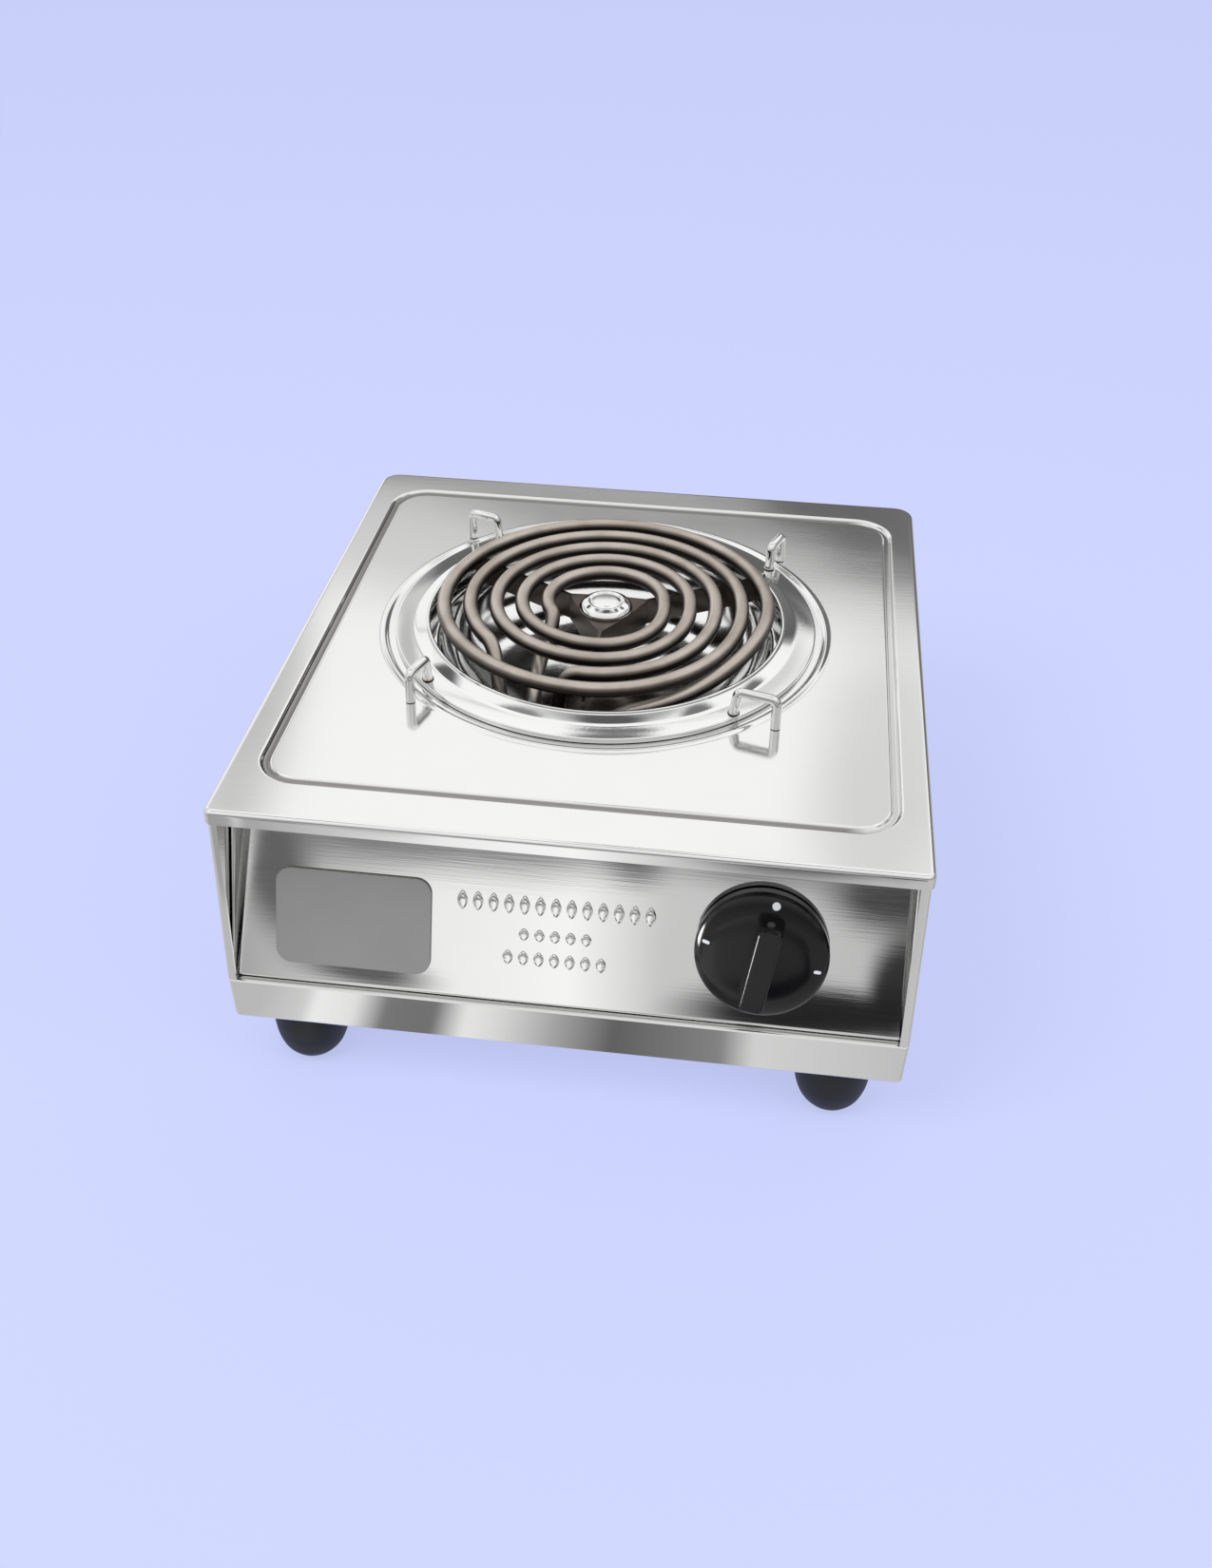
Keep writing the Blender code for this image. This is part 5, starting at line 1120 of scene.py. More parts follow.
def rounded_path(points, radius, steps=10):
    """Straight runs through points in space, with each corner rounded by an arc."""
    path = [Vector(points[0])]
    for before, here, after in zip(points, points[1:], points[2:]):
        into = (before - here).normalized()
        out = (after - here).normalized()
        half = into.angle(out) / 2
        setback = radius * cos(half) / sin(half)
        centre = here + (into + out).normalized() * radius / sin(half)
        start = here + into * setback - centre
        end = here + out * setback - centre
        path += [centre + start.slerp(end, k / steps) * radius for k in range(steps + 1)]
    path.append(Vector(points[-1]))
    return path


weld_places = []
for number, (degrees, space) in enumerate(SUPPORTS, start=1):
    leg_radius = RIB_RADIUS + RIB_HALF_WIDTH + space + WIRE / 2
    aside = leg_radius * sin(SUPPORT_TURN)
    reach = leg_radius * cos(SUPPORT_TURN) - (END_RADIUS**2 - aside**2) ** 0.5
    inward = Vector((-cos(SUPPORT_TURN), -sin(SUPPORT_TURN), 0))
    leg = Vector((leg_radius, 0, 0))
    corners = [
        leg + up(CLEARANCE),
        leg + up(ARM_HEIGHT),
        leg + inward * (reach - END_SLOPE) + up(ARM_HEIGHT),
        leg + inward * reach + up(FLANGE_TOP + CLEARANCE),
    ]
    about = turn_about("Z", degrees)
    path = [ON_BURNER + about @ point for point in rounded_path(corners, SUPPORT_BEND)]
    wire = rod(path, WIRE, ring_steel, sides=28)
    node = f"pan_support_{number}"
    finished(f"wire_support_{number}", wire, ring_steel, "ring", [node], "polished_steel")
    weld_places.append((path[-1] - up(WELD_SUNK), (0, 0, radians(degrees))))

WELD = [(0, 0.0009, 0), (0.0019, 0.0007, 0.0006), (0.0029, 0, 0.0006), (0, -0.0002, 0)]
welds = copies(turned(softened(WELD), 24), weld_places, sheath)
finished("support_welds", welds, sheath, "ring", slot="heater_sheath")
print("supports:", len(SUPPORTS))

# %% [markdown]
# ## The heaters
# Two tubular heaters are wound in one plane, the outer with two turns and the inner with three.
# Each turn steps inward just after the front, which is why the windings look like circles there
# and not like a spiral. The path is a rule, so it is computed, and the rod tree sweeps it.

# %% Paths of the heaters
TUBE = 0.0066
COIL_PITCH = 0.0118
COIL_STEP_SHARE = 0.27
COIL_HEIGHT = 0.0118
POINTS_IN_TURN = 96
TAIL_DROP = 0.0470
TAIL_X = (-0.0370, -0.0245, -0.0120, 0.0070)
TAIL_LEAD = 0.012
TAIL_SINK = 0.020
TAIL_STEPS = 28
OUTER_TURNS = (0.05, 1.86)
INNER_TURNS = (-0.008, 2.83)
START_DROP = 0.0122
START_TURNS = 0.22
ON_COIL = Vector((BURNER.x, BURNER.y, SURFACE + COIL_HEIGHT))


def steps_inward(turns):
    """How many pitches a winding has stepped in, each step in the quarter just after the front."""
    return floor(turns) + eased((turns - floor(turns)) / COIL_STEP_SHARE)


def on_coil(turns, radius, drop=0):
    """A point round the coil's middle; a whole number of turns is at the front."""
    angle = 2 * pi * turns - pi / 2
    return Vector((radius * cos(angle), radius * sin(angle), -drop))


def along_coil(turns):
    """The direction in which a winding runs there."""
    angle = 2 * pi * turns - pi / 2
    return Vector((-sin(angle), cos(angle), 0))


def outer_point(turns):
    radius = COIL_RADIUS + COIL_PITCH - COIL_PITCH * max(1, steps_inward(turns))
    return on_coil(turns, radius, START_DROP * (1 - eased(turns / START_TURNS)))


def inner_point(turns):
    return on_coil(turns, COIL_RADIUS - COIL_PITCH - COIL_PITCH * steps_inward(turns))


def winding(point, first, last):
    """Evenly spaced points of a winding."""
    count = round((last - first) * POINTS_IN_TURN)
    return [point(first + (last - first) * k / count) for k in range(count + 1)]


def bezier(start, start_handle, end_handle, end, steps):
    """Points along a cubic curve, without its first."""
    made = []
    for k in range(1, steps + 1):
        t = k / steps
        near = start * (1 - t) ** 3 + start_handle * 3 * t * (1 - t) ** 2
        made.append(near + end_handle * 3 * t**2 * (1 - t) + end * t**3)
    return made


def tail(start, direction, x):
    """A tube end that leaves the coil and turns straight down to its terminal."""
    end = Vector((x, -TAIL_FORWARD, -TAIL_DROP))
    low = end + up(TUBE)
    lead = start + direction * TAIL_LEAD
    return bezier(start, lead, low + up(TAIL_SINK), low, TAIL_STEPS) + [end]


outer = winding(outer_point, *OUTER_TURNS)
outer = tail(outer[0], (outer[0] - outer[1]).normalized(), TAIL_X[3])[::-1] + outer
outer += tail(outer[-1], along_coil(OUTER_TURNS[1]), TAIL_X[0])

inner = winding(inner_point, *INNER_TURNS)
inner = tail(inner[0], -along_coil(INNER_TURNS[0]), TAIL_X[2])[::-1] + inner
dive = Vector((TAIL_X[1], -0.0340, -0.0112))
forward = Vector((0, -1, 0))
last = inner[-1]
lead = last + along_coil(INNER_TURNS[1]) * (TAIL_LEAD / 2)
inner += bezier(last, lead, dive - forward * TAIL_LEAD, dive, TAIL_STEPS)
inner += tail(dive, forward, TAIL_X[1])

for name, path in (("outer", outer), ("inner", inner)):
    tube = rod([ON_COIL + point for point in path], TUBE, sheath, sides=32)
    node = f"{name}_heater_tube"
    finished(f"{name}_heater_sheath", tube, sheath, stands_for=[node], slot="heater_sheath")
    print(name, "heater:", len(path), "points along it,", len(tube.polygons), "faces")

# %% [markdown]
# Under the coils lie the spider, three strips on edge that meet in a hub, and in the middle a
# bright pressed disc with a raised rim. The arms are cut from strip, so their edges are only
# slightly broken. A Bevel modifier does that for every flat cut part.

# %% Broken edges
def bevelled(piece, width):
    """Breaks the sharp edges of a piece."""
    edge = piece.modifiers.new("broken_edges", "BEVEL")
    edge.width = width
    edge.segments = 2
    edge.limit_method = "ANGLE"
    edge.angle_limit = radians(40)
    edge.harden_normals = True


# %% Spider and medallion
spider_low, spider_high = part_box("element_spider")
ARM_HALF = 0.0008
ARM_ROOT = 0.0205
ARM_END = LEDGE_RADIUS + 0.0017
HUB_NOTCH = 0.0120
HUB_HOLE = 0.0023
spider_outline = []
for k in range(3):
    angle = radians(-90 + 120 * k)
    along = Vector((cos(angle), sin(angle)))
    across = Vector((-along.y, along.x)) * ARM_HALF
    spider_outline += [along * ARM_ROOT - across, along * ARM_END - across]
    spider_outline += [along * ARM_END + across, along * ARM_ROOT + across]
    between = angle + pi / 3
    spider_outline.append(Vector((cos(between), sin(between))) * HUB_NOTCH)
spider_shape = skin([level(spider_outline, z) for z in (spider_low.z, spider_high.z)])
hub_hole = moved(drill(HUB_HOLE, 0.02), (BURNER.x, BURNER.y, spider_high.z))
arms = carved(moved(spider_shape, (BURNER.x, BURNER.y, 0)), [hub_hole])
spider = finished("arm_spider", arms, heat_tint, stands_for=["element_spider"], slot="bracket_steel")
bevelled(spider, 0.00018)

disc_low, disc_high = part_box("centre_medallion")
DISC_RADIUS = (disc_high.x - disc_low.x) / 2
DISC_HEIGHT = disc_high.z - disc_low.z
disc_section = softened(
    [
        (0, DISC_HEIGHT * 0.93, 0),
        (DISC_RADIUS * 0.46, DISC_HEIGHT * 0.90, 0.003),
        (DISC_RADIUS * 0.58, DISC_HEIGHT * 0.78, 0.0008),
        (DISC_RADIUS * 0.66, DISC_HEIGHT * 0.98, 0.0012),
        (DISC_RADIUS * 0.90, DISC_HEIGHT * 0.62, 0.002),
        (DISC_RADIUS, DISC_HEIGHT * 0.25, 0.0008),
        (DISC_RADIUS, 0, 0.0002),
        (HUB_HOLE, 0, 0.0002),
        (HUB_HOLE, DISC_HEIGHT * 0.5, 0.0002),
        (0, DISC_HEIGHT * 0.5, 0),
    ],
    steps=6,
)
disc = moved(turned(disc_section, 96), (BURNER.x, BURNER.y, disc_low.z))
finished(
    "bright_medallion",
    disc,
    ring_steel,
    stands_for=["centre_medallion"],
    slot="polished_steel",
    sharp=70,
)
print("medallion radius", round(DISC_RADIUS, 4))

# %% [markdown]
# ## The knob
# It is one moulding: a thin round skirt with a domed face, and a straight bar across it that
# tapers towards its top. A Boolean joins the two shapes, and another one cuts the D-shaped bore
# for the shaft. The knob is built on its own axis and then stood up on the joint's axis.

# %% Knob
KNOB_RADIUS = 0.0265
KNOB_BACK = 0.0010
KNOB_FACE = KNOB_BACK + 0.0042
KNOB_TOP = KNOB_FACE + 0.0163
CROWN = 0.0032
CROWN_RADIUS = KNOB_RADIUS * 0.985
CAVITY_RADIUS = 0.0242
CAVITY_DEPTH = 0.0026
HUB_RADIUS = 0.0065
KNOB_REST = -10
ON_AXIS = STAND @ turn_about("Z", KNOB_REST)


def face_height(radius):
    """The domed face: nearly flat, and steep at its edge."""
    return KNOB_FACE + CROWN * (1 - (radius / CROWN_RADIUS) ** 5) ** 0.6


face_shares = [0, 0.25, 0.45, 0.6] + [sin(radians(angle)) for angle in range(45, 87, 3)]
face_radii = [CROWN_RADIUS * share for share in face_shares]
knob_section = [(radius, face_height(radius)) for radius in face_radii]
knob_section += softened(
    [
        (CROWN_RADIUS, KNOB_FACE + 0.0002, 0),
        (KNOB_RADIUS, KNOB_FACE - 0.0002, 0.0005),
        (KNOB_RADIUS, KNOB_BACK, 0.0003),
        (CAVITY_RADIUS, KNOB_BACK, 0.0003),
        (CAVITY_RADIUS, KNOB_BACK + CAVITY_DEPTH, 0.0006),
        (HUB_RADIUS, KNOB_BACK + CAVITY_DEPTH, 0.0006),
        (HUB_RADIUS, KNOB_BACK, 0.0003),
        (0, KNOB_BACK, 0),
    ],
    steps=8,
)


GRIP_FOOT = Vector((0.0112, 0.0366))
GRIP_TOP = Vector((0.0094, 0.0344))
GRIP_CORNER = 0.0022
GRIP_ROUND = 0.0009
BORE_RADIUS = 0.0033
BORE_FLAT = 0.0023
BORE_END = 0.0123


def grip_loop(size, inset, height):
    """A loop round the bar, so far in from its side."""
    half = size / 2 - Vector((inset, inset))
    corner = GRIP_CORNER - inset
    return level(rounded(-half, half, corner, corner, arc_steps=8), height)


grip_loops = [grip_loop(GRIP_FOOT, 0, KNOB_FACE), grip_loop(GRIP_TOP, 0, KNOB_TOP - GRIP_ROUND)]
for x, y in arc((GRIP_ROUND, -GRIP_ROUND), GRIP_ROUND, 150, 90, 4):
    grip_loops.append(grip_loop(GRIP_TOP, x, KNOB_TOP + y))
bore_outline = [(min(x, BORE_FLAT), y) for x, y in circle(BORE_RADIUS, 40)]
bore = skin([level(bore_outline, KNOB_BACK - 0.004), level(bore_outline, BORE_END)])
knob_mesh = carved(turned(knob_section, 128), [skin(grip_loops)], operation="UNION")
knob_mesh = carved(opened(knob_mesh), [bore])
knob_mesh.transform(ON_AXIS)
knob = finished(
    "bar_knob",
    knob_mesh,
    knob_black,
    "knob",
    ["control_knob"],
    "black_knob",
    sharp=38,
    weighted=True,
)
print("knob radius", round(KNOB_RADIUS, 4), "top", round(KNOB_TOP, 4))

# %% [markdown]
# The skirt carries three printed marks: a round spot at its top and a short bar at each side. The
# ink stands about a tenth of a millimetre proud, so each mark is a thin piece on the crown.

# %% Printed marks on the skirt
INK = 0.00012
MARK_RADIUS = 0.0224
MARKS = (("spot", 89, 0.0016, 0.0016), ("bar_left", 179, 0.0015, 0.0007), ("bar_right", -1, 0.0015, 0.0007))


def mark(degrees, half_length, half_width):
    """A thin rounded patch that follows the crown, long in the direction of its radius."""
    corner = min(half_length, half_width)
    outline = []
    for x, y, start in ((1, 1, 0), (-1, 1, 90), (-1, -1, 180), (1, -1, 270)):
        outline += arc((x * (half_length - corner), y * (half_width - corner)), corner, start, start + 90, 6)
    turn = radians(degrees)

    def on_face(x, y, rise):
        out = MARK_RADIUS + x
        spot = Vector((out * cos(turn) - y * sin(turn), out * sin(turn) + y * cos(turn)))
        return Vector((spot.x, spot.y, face_height(spot.length) + rise))

    low = [on_face(x, y, -0.0002) for x, y in outline]
    edge = [on_face(x, y, INK * 0.6) for x, y in outline]
    top = [on_face(x * 0.85, y * 0.85, INK) for x, y in outline]
    return skin([low, edge, top])


for name, *measures in MARKS:
    shape = moved(mark(*measures), turn=ON_AXIS)
    finished(f"printed_{name}", shape, mark_white, "knob", slot="black_knob", sharp=60)

# %% [markdown]
# ## Feet and fasteners
# All feet are the same moulding and all screws come from the same box, so each kind is one section
# turned about its axis and set out by the tree of copies. A screw has a low domed head with a
# cross recess.

# %% Rubber feet
FOOT = 0.0297
FOOT_RADIUS = 0.0166
RECESS_RADIUS = 0.0046
RECESS_TOP = 0.018
foot_section = softened(
    [
        (RECESS_RADIUS, 0, 0.0004),
        (0.0085, 0, 0.0010),
        (FOOT_RADIUS * 0.62, FOOT * 0.05, 0.004),
        (FOOT_RADIUS * 0.79, FOOT * 0.17, 0.004),
        (FOOT_RADIUS * 0.91, FOOT * 0.36, 0.004),
        (FOOT_RADIUS * 0.97, FOOT * 0.62, 0.004),
        (FOOT_RADIUS, FOOT - CLEARANCE, 0.0010),
        (SCREW_HOLE, FOOT - CLEARANCE, 0.0003),
        (SCREW_HOLE, RECESS_TOP, 0.0003),
        (RECESS_RADIUS, RECESS_TOP, 0.0003),
    ],
    steps=5,
    ring=True,
)
FEET = four("rubber_foot")
feet = copies(turned(foot_section, 72, ring=True), standing(FEET), rubber_black)
finished("moulded_feet", feet, rubber_black, stands_for=FEET, slot="black_rubber", sharp=50)
print("feet at", [tuple(round(v, 3) for v in foot_at) for foot_at, turn in standing(FEET)])


# %% Screws
SCREW_HEAD = 0.0022
HEAD_RADIUS = 0.0038
SHANK = 0.0019
CROSS = (0.0019, 0.00035)


def screw(length):
    """A pan-head screw with a cross recess, its seat at Z = 0 and its shank below."""
    head = [
        (0, SCREW_HEAD, 0),
        (0.0030, 0.0019, 0.0014),
        (HEAD_RADIUS, 0.0004, 0.0008),
        (HEAD_RADIUS, 0, 0.0002),
    ]
    shank = [
        (SHANK, 0, 0.0002),
        (SHANK, -length + 0.0006, 0.0003),
        (SHANK - 0.0005, -length, 0.0002),
        (0, -length, 0),
    ]
    outline = rounded((-CROSS[0], -CROSS[1]), CROSS, 0.0002, 0.0002, arc_steps=3)
    blades = []
    for degrees in (0, 90):
        blade = skin([level([(x * 0.7, y) for x, y in outline], 0.0010), level(outline, 0.0030)])
        blades.append(moved(blade, turn=turn_about("Z", degrees)))
    return opened(carved(turned(softened(head + shank, steps=3), 40), blades))


SCREW_GROUPS = (
    ("foot", (pi, 0, 0), zinc, four("foot_screw")),
    ("right_wall", (0, pi / 2, 0), zinc, ["tray_screw_1", "tray_screw_2"]),
    ("left_wall", (0, -pi / 2, 0), zinc, ["tray_screw_3", "tray_screw_4"]),
    ("block", (0, 0, 0), zinc, ["block_screw_1", "block_screw_2"]),
    ("supply", (0, 0, 0), zinc, ["supply_screw"]),
    ("medallion", (pi, 0, 0), zinc, ["medallion_screw"]),
    ("earth", (0, 0, 0), brass, ["earth_screw"]),
)
for name, turn, metal, stood_for in SCREW_GROUPS:
    facing = Euler(turn).to_matrix() @ up(1)
    reach = max(range(3), key=lambda axis: abs(facing[axis]))
    seats = []
    for node in stood_for:
        low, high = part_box(node)
        seat = (low + high) / 2
        seat[reach] = high[reach] - SCREW_HEAD if facing[reach] > 0 else low[reach] + SCREW_HEAD
        seats.append((seat, turn))
    length = high[reach] - low[reach] - SCREW_HEAD
    made = copies(screw(length), seats, metal)
    slot = "brass" if metal is brass else "bracket_steel"
    finished(f"{name}_screws", made, metal, stands_for=stood_for, slot=slot, sharp=40)
    print(name, "screws:", len(seats), "length", round(length, 4))

SWITCH_SCREWS = ["switch_screw_1", "switch_screw_2"]
SWITCH_SCREW_OUT = 0.0140
SWITCH_SCREW_LENGTH = 0.0044
switch_seats = [
    (STAND @ Vector((x, 0, CLEARANCE)), (pi / 2 - TILT, 0, 0)) for x in (-SWITCH_SCREW_OUT, SWITCH_SCREW_OUT)
]
switch_fixing = copies(screw(SWITCH_SCREW_LENGTH), switch_seats, zinc)
finished("switch_screws", switch_fixing, zinc, stands_for=SWITCH_SCREWS, slot="bracket_steel", sharp=40)

# %% [markdown]
# ## Inside the body
# The terminals, the switch and the inlet hardly show, but the vents, the bowl's windows and the
# lifted ring let one look in. Round parts are turned again with finer sections. The square ones
# keep their CAD shape: a merged copy of the node gets its flat faces back and broken edges.

# %% Beads, pins and gland
BEADS = four("terminal_bead")
PINS = four("terminal_pin")
BEAD_BORE = 0.0015
BEAD_LENGTH = 0.0070
PIN_RADIUS = 0.0012
bead_section = softened(
    [
        (BEAD_BORE, 0, 0.0002),
        (0.0036, 0, 0.0006),
        (0.0036, -0.0049, 0.0010),
        (0.0027, -BEAD_LENGTH, 0.0008),
        (BEAD_BORE, -BEAD_LENGTH, 0.0002),
    ],
    ring=True,
)
bead_mesh = copies(turned(bead_section, 40, ring=True), standing(BEADS, at_top=True), glazed)
finished("glazed_beads", bead_mesh, glazed, stands_for=BEADS, slot="ceramic")
pin_low, pin_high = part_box(PINS[-1])
pin_length = pin_high.z - pin_low.z
pin_section = softened(
    [(0, 0, 0), (PIN_RADIUS, 0, 0.0005), (PIN_RADIUS, pin_length, 0.0002), (0, pin_length, 0)]
)
pin_mesh = copies(turned(pin_section, 28), standing(PINS), zinc)
finished("terminal_pins", pin_mesh, zinc, stands_for=PINS, slot="bracket_steel")

gland_section = softened(
    [
        (0.0040, 0.0093, 0.0006),
        (0.0060, 0.0093, 0.0008),
        (0.0076, 0.0033, 0.0008),
        (0.0110, 0.0030, 0.0009),
        (0.0110, CLEARANCE, 0.0003),
        (0.0080, CLEARANCE, 0.0002),
        (0.0080, -0.0120, 0.0005),
        (0.0040, -0.0120, 0.0005),
    ],
    steps=6,
    ring=True,
)
gland = moved(turned(gland_section, 72, ring=True), INLET, turn_about("X", -90))
finished("cord_inlet", gland, knob_black, stands_for=["cord_gland"], slot="black_knob", sharp=40)
print("beads:", len(BEADS), "pins:", len(PINS))


# %% Square parts as merged copies
def merged_copy(name, node, material, body, slot, edge):
    """A CAD node's own shape, with its triangles merged into flat faces and its edges broken."""
    shape = opened(nodes[node].data)
    bmesh.ops.remove_doubles(shape, verts=shape.verts, dist=0.00001)
    bmesh.ops.dissolve_limit(shape, angle_limit=radians(1.5), verts=shape.verts, edges=shape.edges)
    bevelled(finished(name, shape, material, body, [node], slot, sharp=35), edge)


SQUARE_PARTS = (
    ("glazed_block", "terminal_block", glazed, "stove", "ceramic", 0.0005),
    ("folded_bracket", "block_bracket", zinc, "stove", "bracket_steel", 0.0002),
    ("switch_shell", "switch_body", bakelite, "stove", "phenolic", 0.0003),
    ("switch_plate", "switch_cover", glazed, "stove", "ceramic", 0.0002),
    ("turning_shaft", "switch_shaft", brass, "knob", "brass", 0.0002),
    ("turning_cam", "switch_cam", bakelite, "knob", "phenolic", 0.0002),
    ("inlet_nut", "gland_nut", knob_black, "stove", "black_knob", 0.0003),
    ("supply_block", "supply_terminal", glazed, "stove", "ceramic", 0.0005),
)
for square_part in SQUARE_PARTS:
    merged_copy(*square_part)
print("square parts:", len(SQUARE_PARTS))

# %% [markdown]
# Five insulated wires join the supply, the switch, the heaters and the earth screw. They are laid
# by hand, so each route is a short list of points, smoothed into one curve. A wire's covering is
# soft plastic over strands, and the rod tree gives it its round section.

# %% Leads inside the body
LEAD = 0.0028
SWITCH_HALF = 0.0180
COVER_BACK = 0.0346
AHEAD = PLATE_CENTRE.y
TRAY_FLOOR = FLOOR + BODY_SHEET
EARTH = middle_of("earth_screw")
supply_low, supply_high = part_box("supply_terminal")
supply_y = supply_low.y - CLEARANCE
supply_z = middle_of("supply_terminal").z
step_x = (supply_high.x - supply_low.x) / 3
block_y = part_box("terminal_block")[1].y + CLEARANCE
block_z = middle_of("terminal_block").z
tails = [ON_COIL.x + x for x in TAIL_X]


def smooth_path(points, step):
    """Points a step apart on a smooth curve through a wire's own points."""
    points = [Vector(p) for p in points]
    ends = [2 * points[0] - points[1], *points, 2 * points[-1] - points[-2]]
    path = [points[0]]
    for a, b, c, d in zip(ends, ends[1:], ends[2:], ends[3:]):
        reach = (c - b).length / 3
        start_handle = b + (c - a).normalized() * reach
        end_handle = c - (d - b).normalized() * reach
        path += bezier(b, start_handle, end_handle, c, max(2, ceil((c - b).length / step)))
    return path


def behind_switch(x, y, away):
    """A point behind the leaning switch, by its place on the cover and its distance."""
    return STAND @ Vector((x, y, -COVER_BACK - CLEARANCE - away))


ROUTES = {
    "switch_lead": (
        wire_red,
        "red_wire",
        [
            (GLAND.x + step_x, supply_y, supply_z),
            (GLAND.x + step_x, supply_y - 0.012, supply_z),
            (0.112, AHEAD + 0.050, TRAY_FLOOR + 0.010),
            (0.112, AHEAD - 0.030, TRAY_FLOOR + 0.012),
            (0.100, AHEAD - 0.075, TRAY_FLOOR + 0.032),
            behind_switch(0, 0, 0.014),
            behind_switch(0, 0, 0),
        ],
    ),
    "outer_lead": (
        wire_red,
        "red_wire",
        [
            behind_switch(0, -SWITCH_HALF * 0.8, 0),
            behind_switch(-0.001, -SWITCH_HALF * 0.8, 0.010),
            (0.052, AHEAD - 0.062, TRAY_FLOOR + 0.032),
            (0.022, AHEAD - 0.026, TRAY_FLOOR + 0.032),
            (tails[3], block_y + 0.012, block_z - 0.003),
            (tails[3], block_y, block_z),
        ],
    ),
    "inner_lead": (
        wire_red,
        "red_wire",
        [
            behind_switch(-SWITCH_HALF * 0.8, 0, 0),
            behind_switch(-SWITCH_HALF * 0.85, 0, 0.010),
            (0.044, AHEAD - 0.066, TRAY_FLOOR + 0.049),
            (0.020, AHEAD - 0.014, TRAY_FLOOR + 0.048),
            (tails[2], block_y + 0.014, block_z),
            (tails[2], block_y, block_z),
        ],
    ),
    "neutral_lead": (
        wire_blue,
        "blue_wire",
        [
            (GLAND.x, supply_y, supply_z),
            (GLAND.x, supply_y - 0.012, supply_z),
            (0.066, AHEAD + 0.050, TRAY_FLOOR + 0.0065),
            (0.010, AHEAD + 0.004, TRAY_FLOOR + 0.0095),
            (tails[1] + 0.004, block_y + 0.018, TRAY_FLOOR + 0.036),
            (tails[1], block_y + 0.008, block_z - 0.003),
            (tails[1], block_y, block_z),
        ],
    ),
    "earth_lead": (
        wire_green,
        "green_wire",
        [
            (GLAND.x - step_x, supply_y, supply_z),
            (GLAND.x - step_x, supply_y - 0.008, supply_z - 0.001),
            (0.060, AHEAD + 0.088, TRAY_FLOOR + 0.0045),
            (EARTH.x + 0.008, EARTH.y - 0.012, TRAY_FLOOR + 0.003),
            (EARTH.x + 0.002, EARTH.y - 0.0044, TRAY_FLOOR + 0.0023),
        ],
    ),
}
for node, (covering, slot, points) in ROUTES.items():
    path = smooth_path(points, 0.0015)
    finished(f"insulated_{node}", rod(path, LEAD, covering), covering, stands_for=[node], slot=slot)
    print(node, "is long, in m:", round(sum((b - a).length for a, b in zip(path, path[1:])), 3))

# %% [markdown]
# ## The studio
# Polished steel shows the room, so the room is most of the look. The floor and the far background
# have one pale colour. Big cards that only reflections can see stand round the stove: a white one
# with clouds overhead, one behind that is white above and dark below, banded ones at the sides and
# in front, and grey ones on the floor, of which the front one has clouds for the panel and bands
# for the tray. Two soft lamps and a grey surrounding light do the rest. A third, small lamp shines
# on the knob alone, so that its edges catch a line of light.

# %% Background and floor
BACKDROP = (0.617, 0.665, 1.0, 1)
ROOM_GREY = (0.72, 0.72, 0.72)
SHADED_SHARE = 0.28
WIDE = 9.0
world = bpy.data.worlds.new("studio")
world.use_nodes = True
scene.world = world
room = Bench(world.node_tree)
seen = room.node("ShaderNodeLightPath", out="Is Camera Ray")
shown = room.mix(seen, ROOM_GREY, BACKDROP)
world.node_tree.links.new(shown.socket, world.node_tree.nodes["Background"].inputs["Color"])


def lying(low_x, low_y, high_x, high_y, height):
    """The corners of a level card."""
    return level(((low_x, low_y), (high_x, low_y), (high_x, high_y), (low_x, high_y)), height)


def sheet_of(name, corners, build):
    """One flat card from its corners, which is stage and no part of the object."""
    made = bpy.data.materials.new(name)
    made.use_nodes = True
    tree = made.node_tree
    tree.nodes.remove(tree.nodes["Principled BSDF"])
    tree.links.new(build(Bench(tree)).socket, tree.nodes["Material Output"].inputs["Surface"])
    mesh = bpy.data.meshes.new(name)
    mesh.from_pydata(corners, [], [range(len(corners))])
    mesh.materials.append(made)
    card = linked(name, mesh)
    return card


def glowing(bench, colour):
    """A surface that shows exactly this colour in a reflection."""
    return bench.node("ShaderNodeEmission", {}, {"Color": colour, "Strength": 1.0}, out="Emission")


def build_floor(bench):
    """The backdrop's colour, mostly glowing by itself, so that shadows on it stay faint."""
    matt = bench.node("ShaderNodeBsdfDiffuse", {}, {"Color": BACKDROP}, out="BSDF")
    inputs = {0: SHADED_SHARE, 1: glowing(bench, BACKDROP), 2: matt}
    return bench.node("ShaderNodeMixShader", {}, inputs, out="Shader")


sheet_of("floor", lying(-WIDE, -WIDE, WIDE, WIDE, 0), build_floor)


# %% Reflection cards
def flat_place(bench, first, second):
    """A card's own two coordinates as a vector with no third."""
    here = bench.node("ShaderNodeTexCoord", out="Object")
    inputs = {0: part_of(bench, here, first), 1: part_of(bench, here, second)}
    return bench.node("ShaderNodeCombineXYZ", {}, inputs)


def blob(bench, where, centre, radii, turn=0.0, soft=0.5):
    """A soft-edged ellipse on a card: 1 inside, 0 outside."""
    inputs = {"Vector": where, "Location": (*centre, 0), "Rotation": (0, 0, turn), "Scale": (*radii, 1)}
    local = bench.node("ShaderNodeMapping", {"vector_type": "TEXTURE"}, inputs)
    away = bench.node("ShaderNodeVectorMath", {"operation": "LENGTH"}, {0: local}, out="Value")
    inputs = {0: away, 1: 1 - soft, 2: 1 + soft, 3: 1.0, 4: 0.0}
    return bench.node("ShaderNodeMapRange", {"interpolation_type": "SMOOTHSTEP"}, inputs)


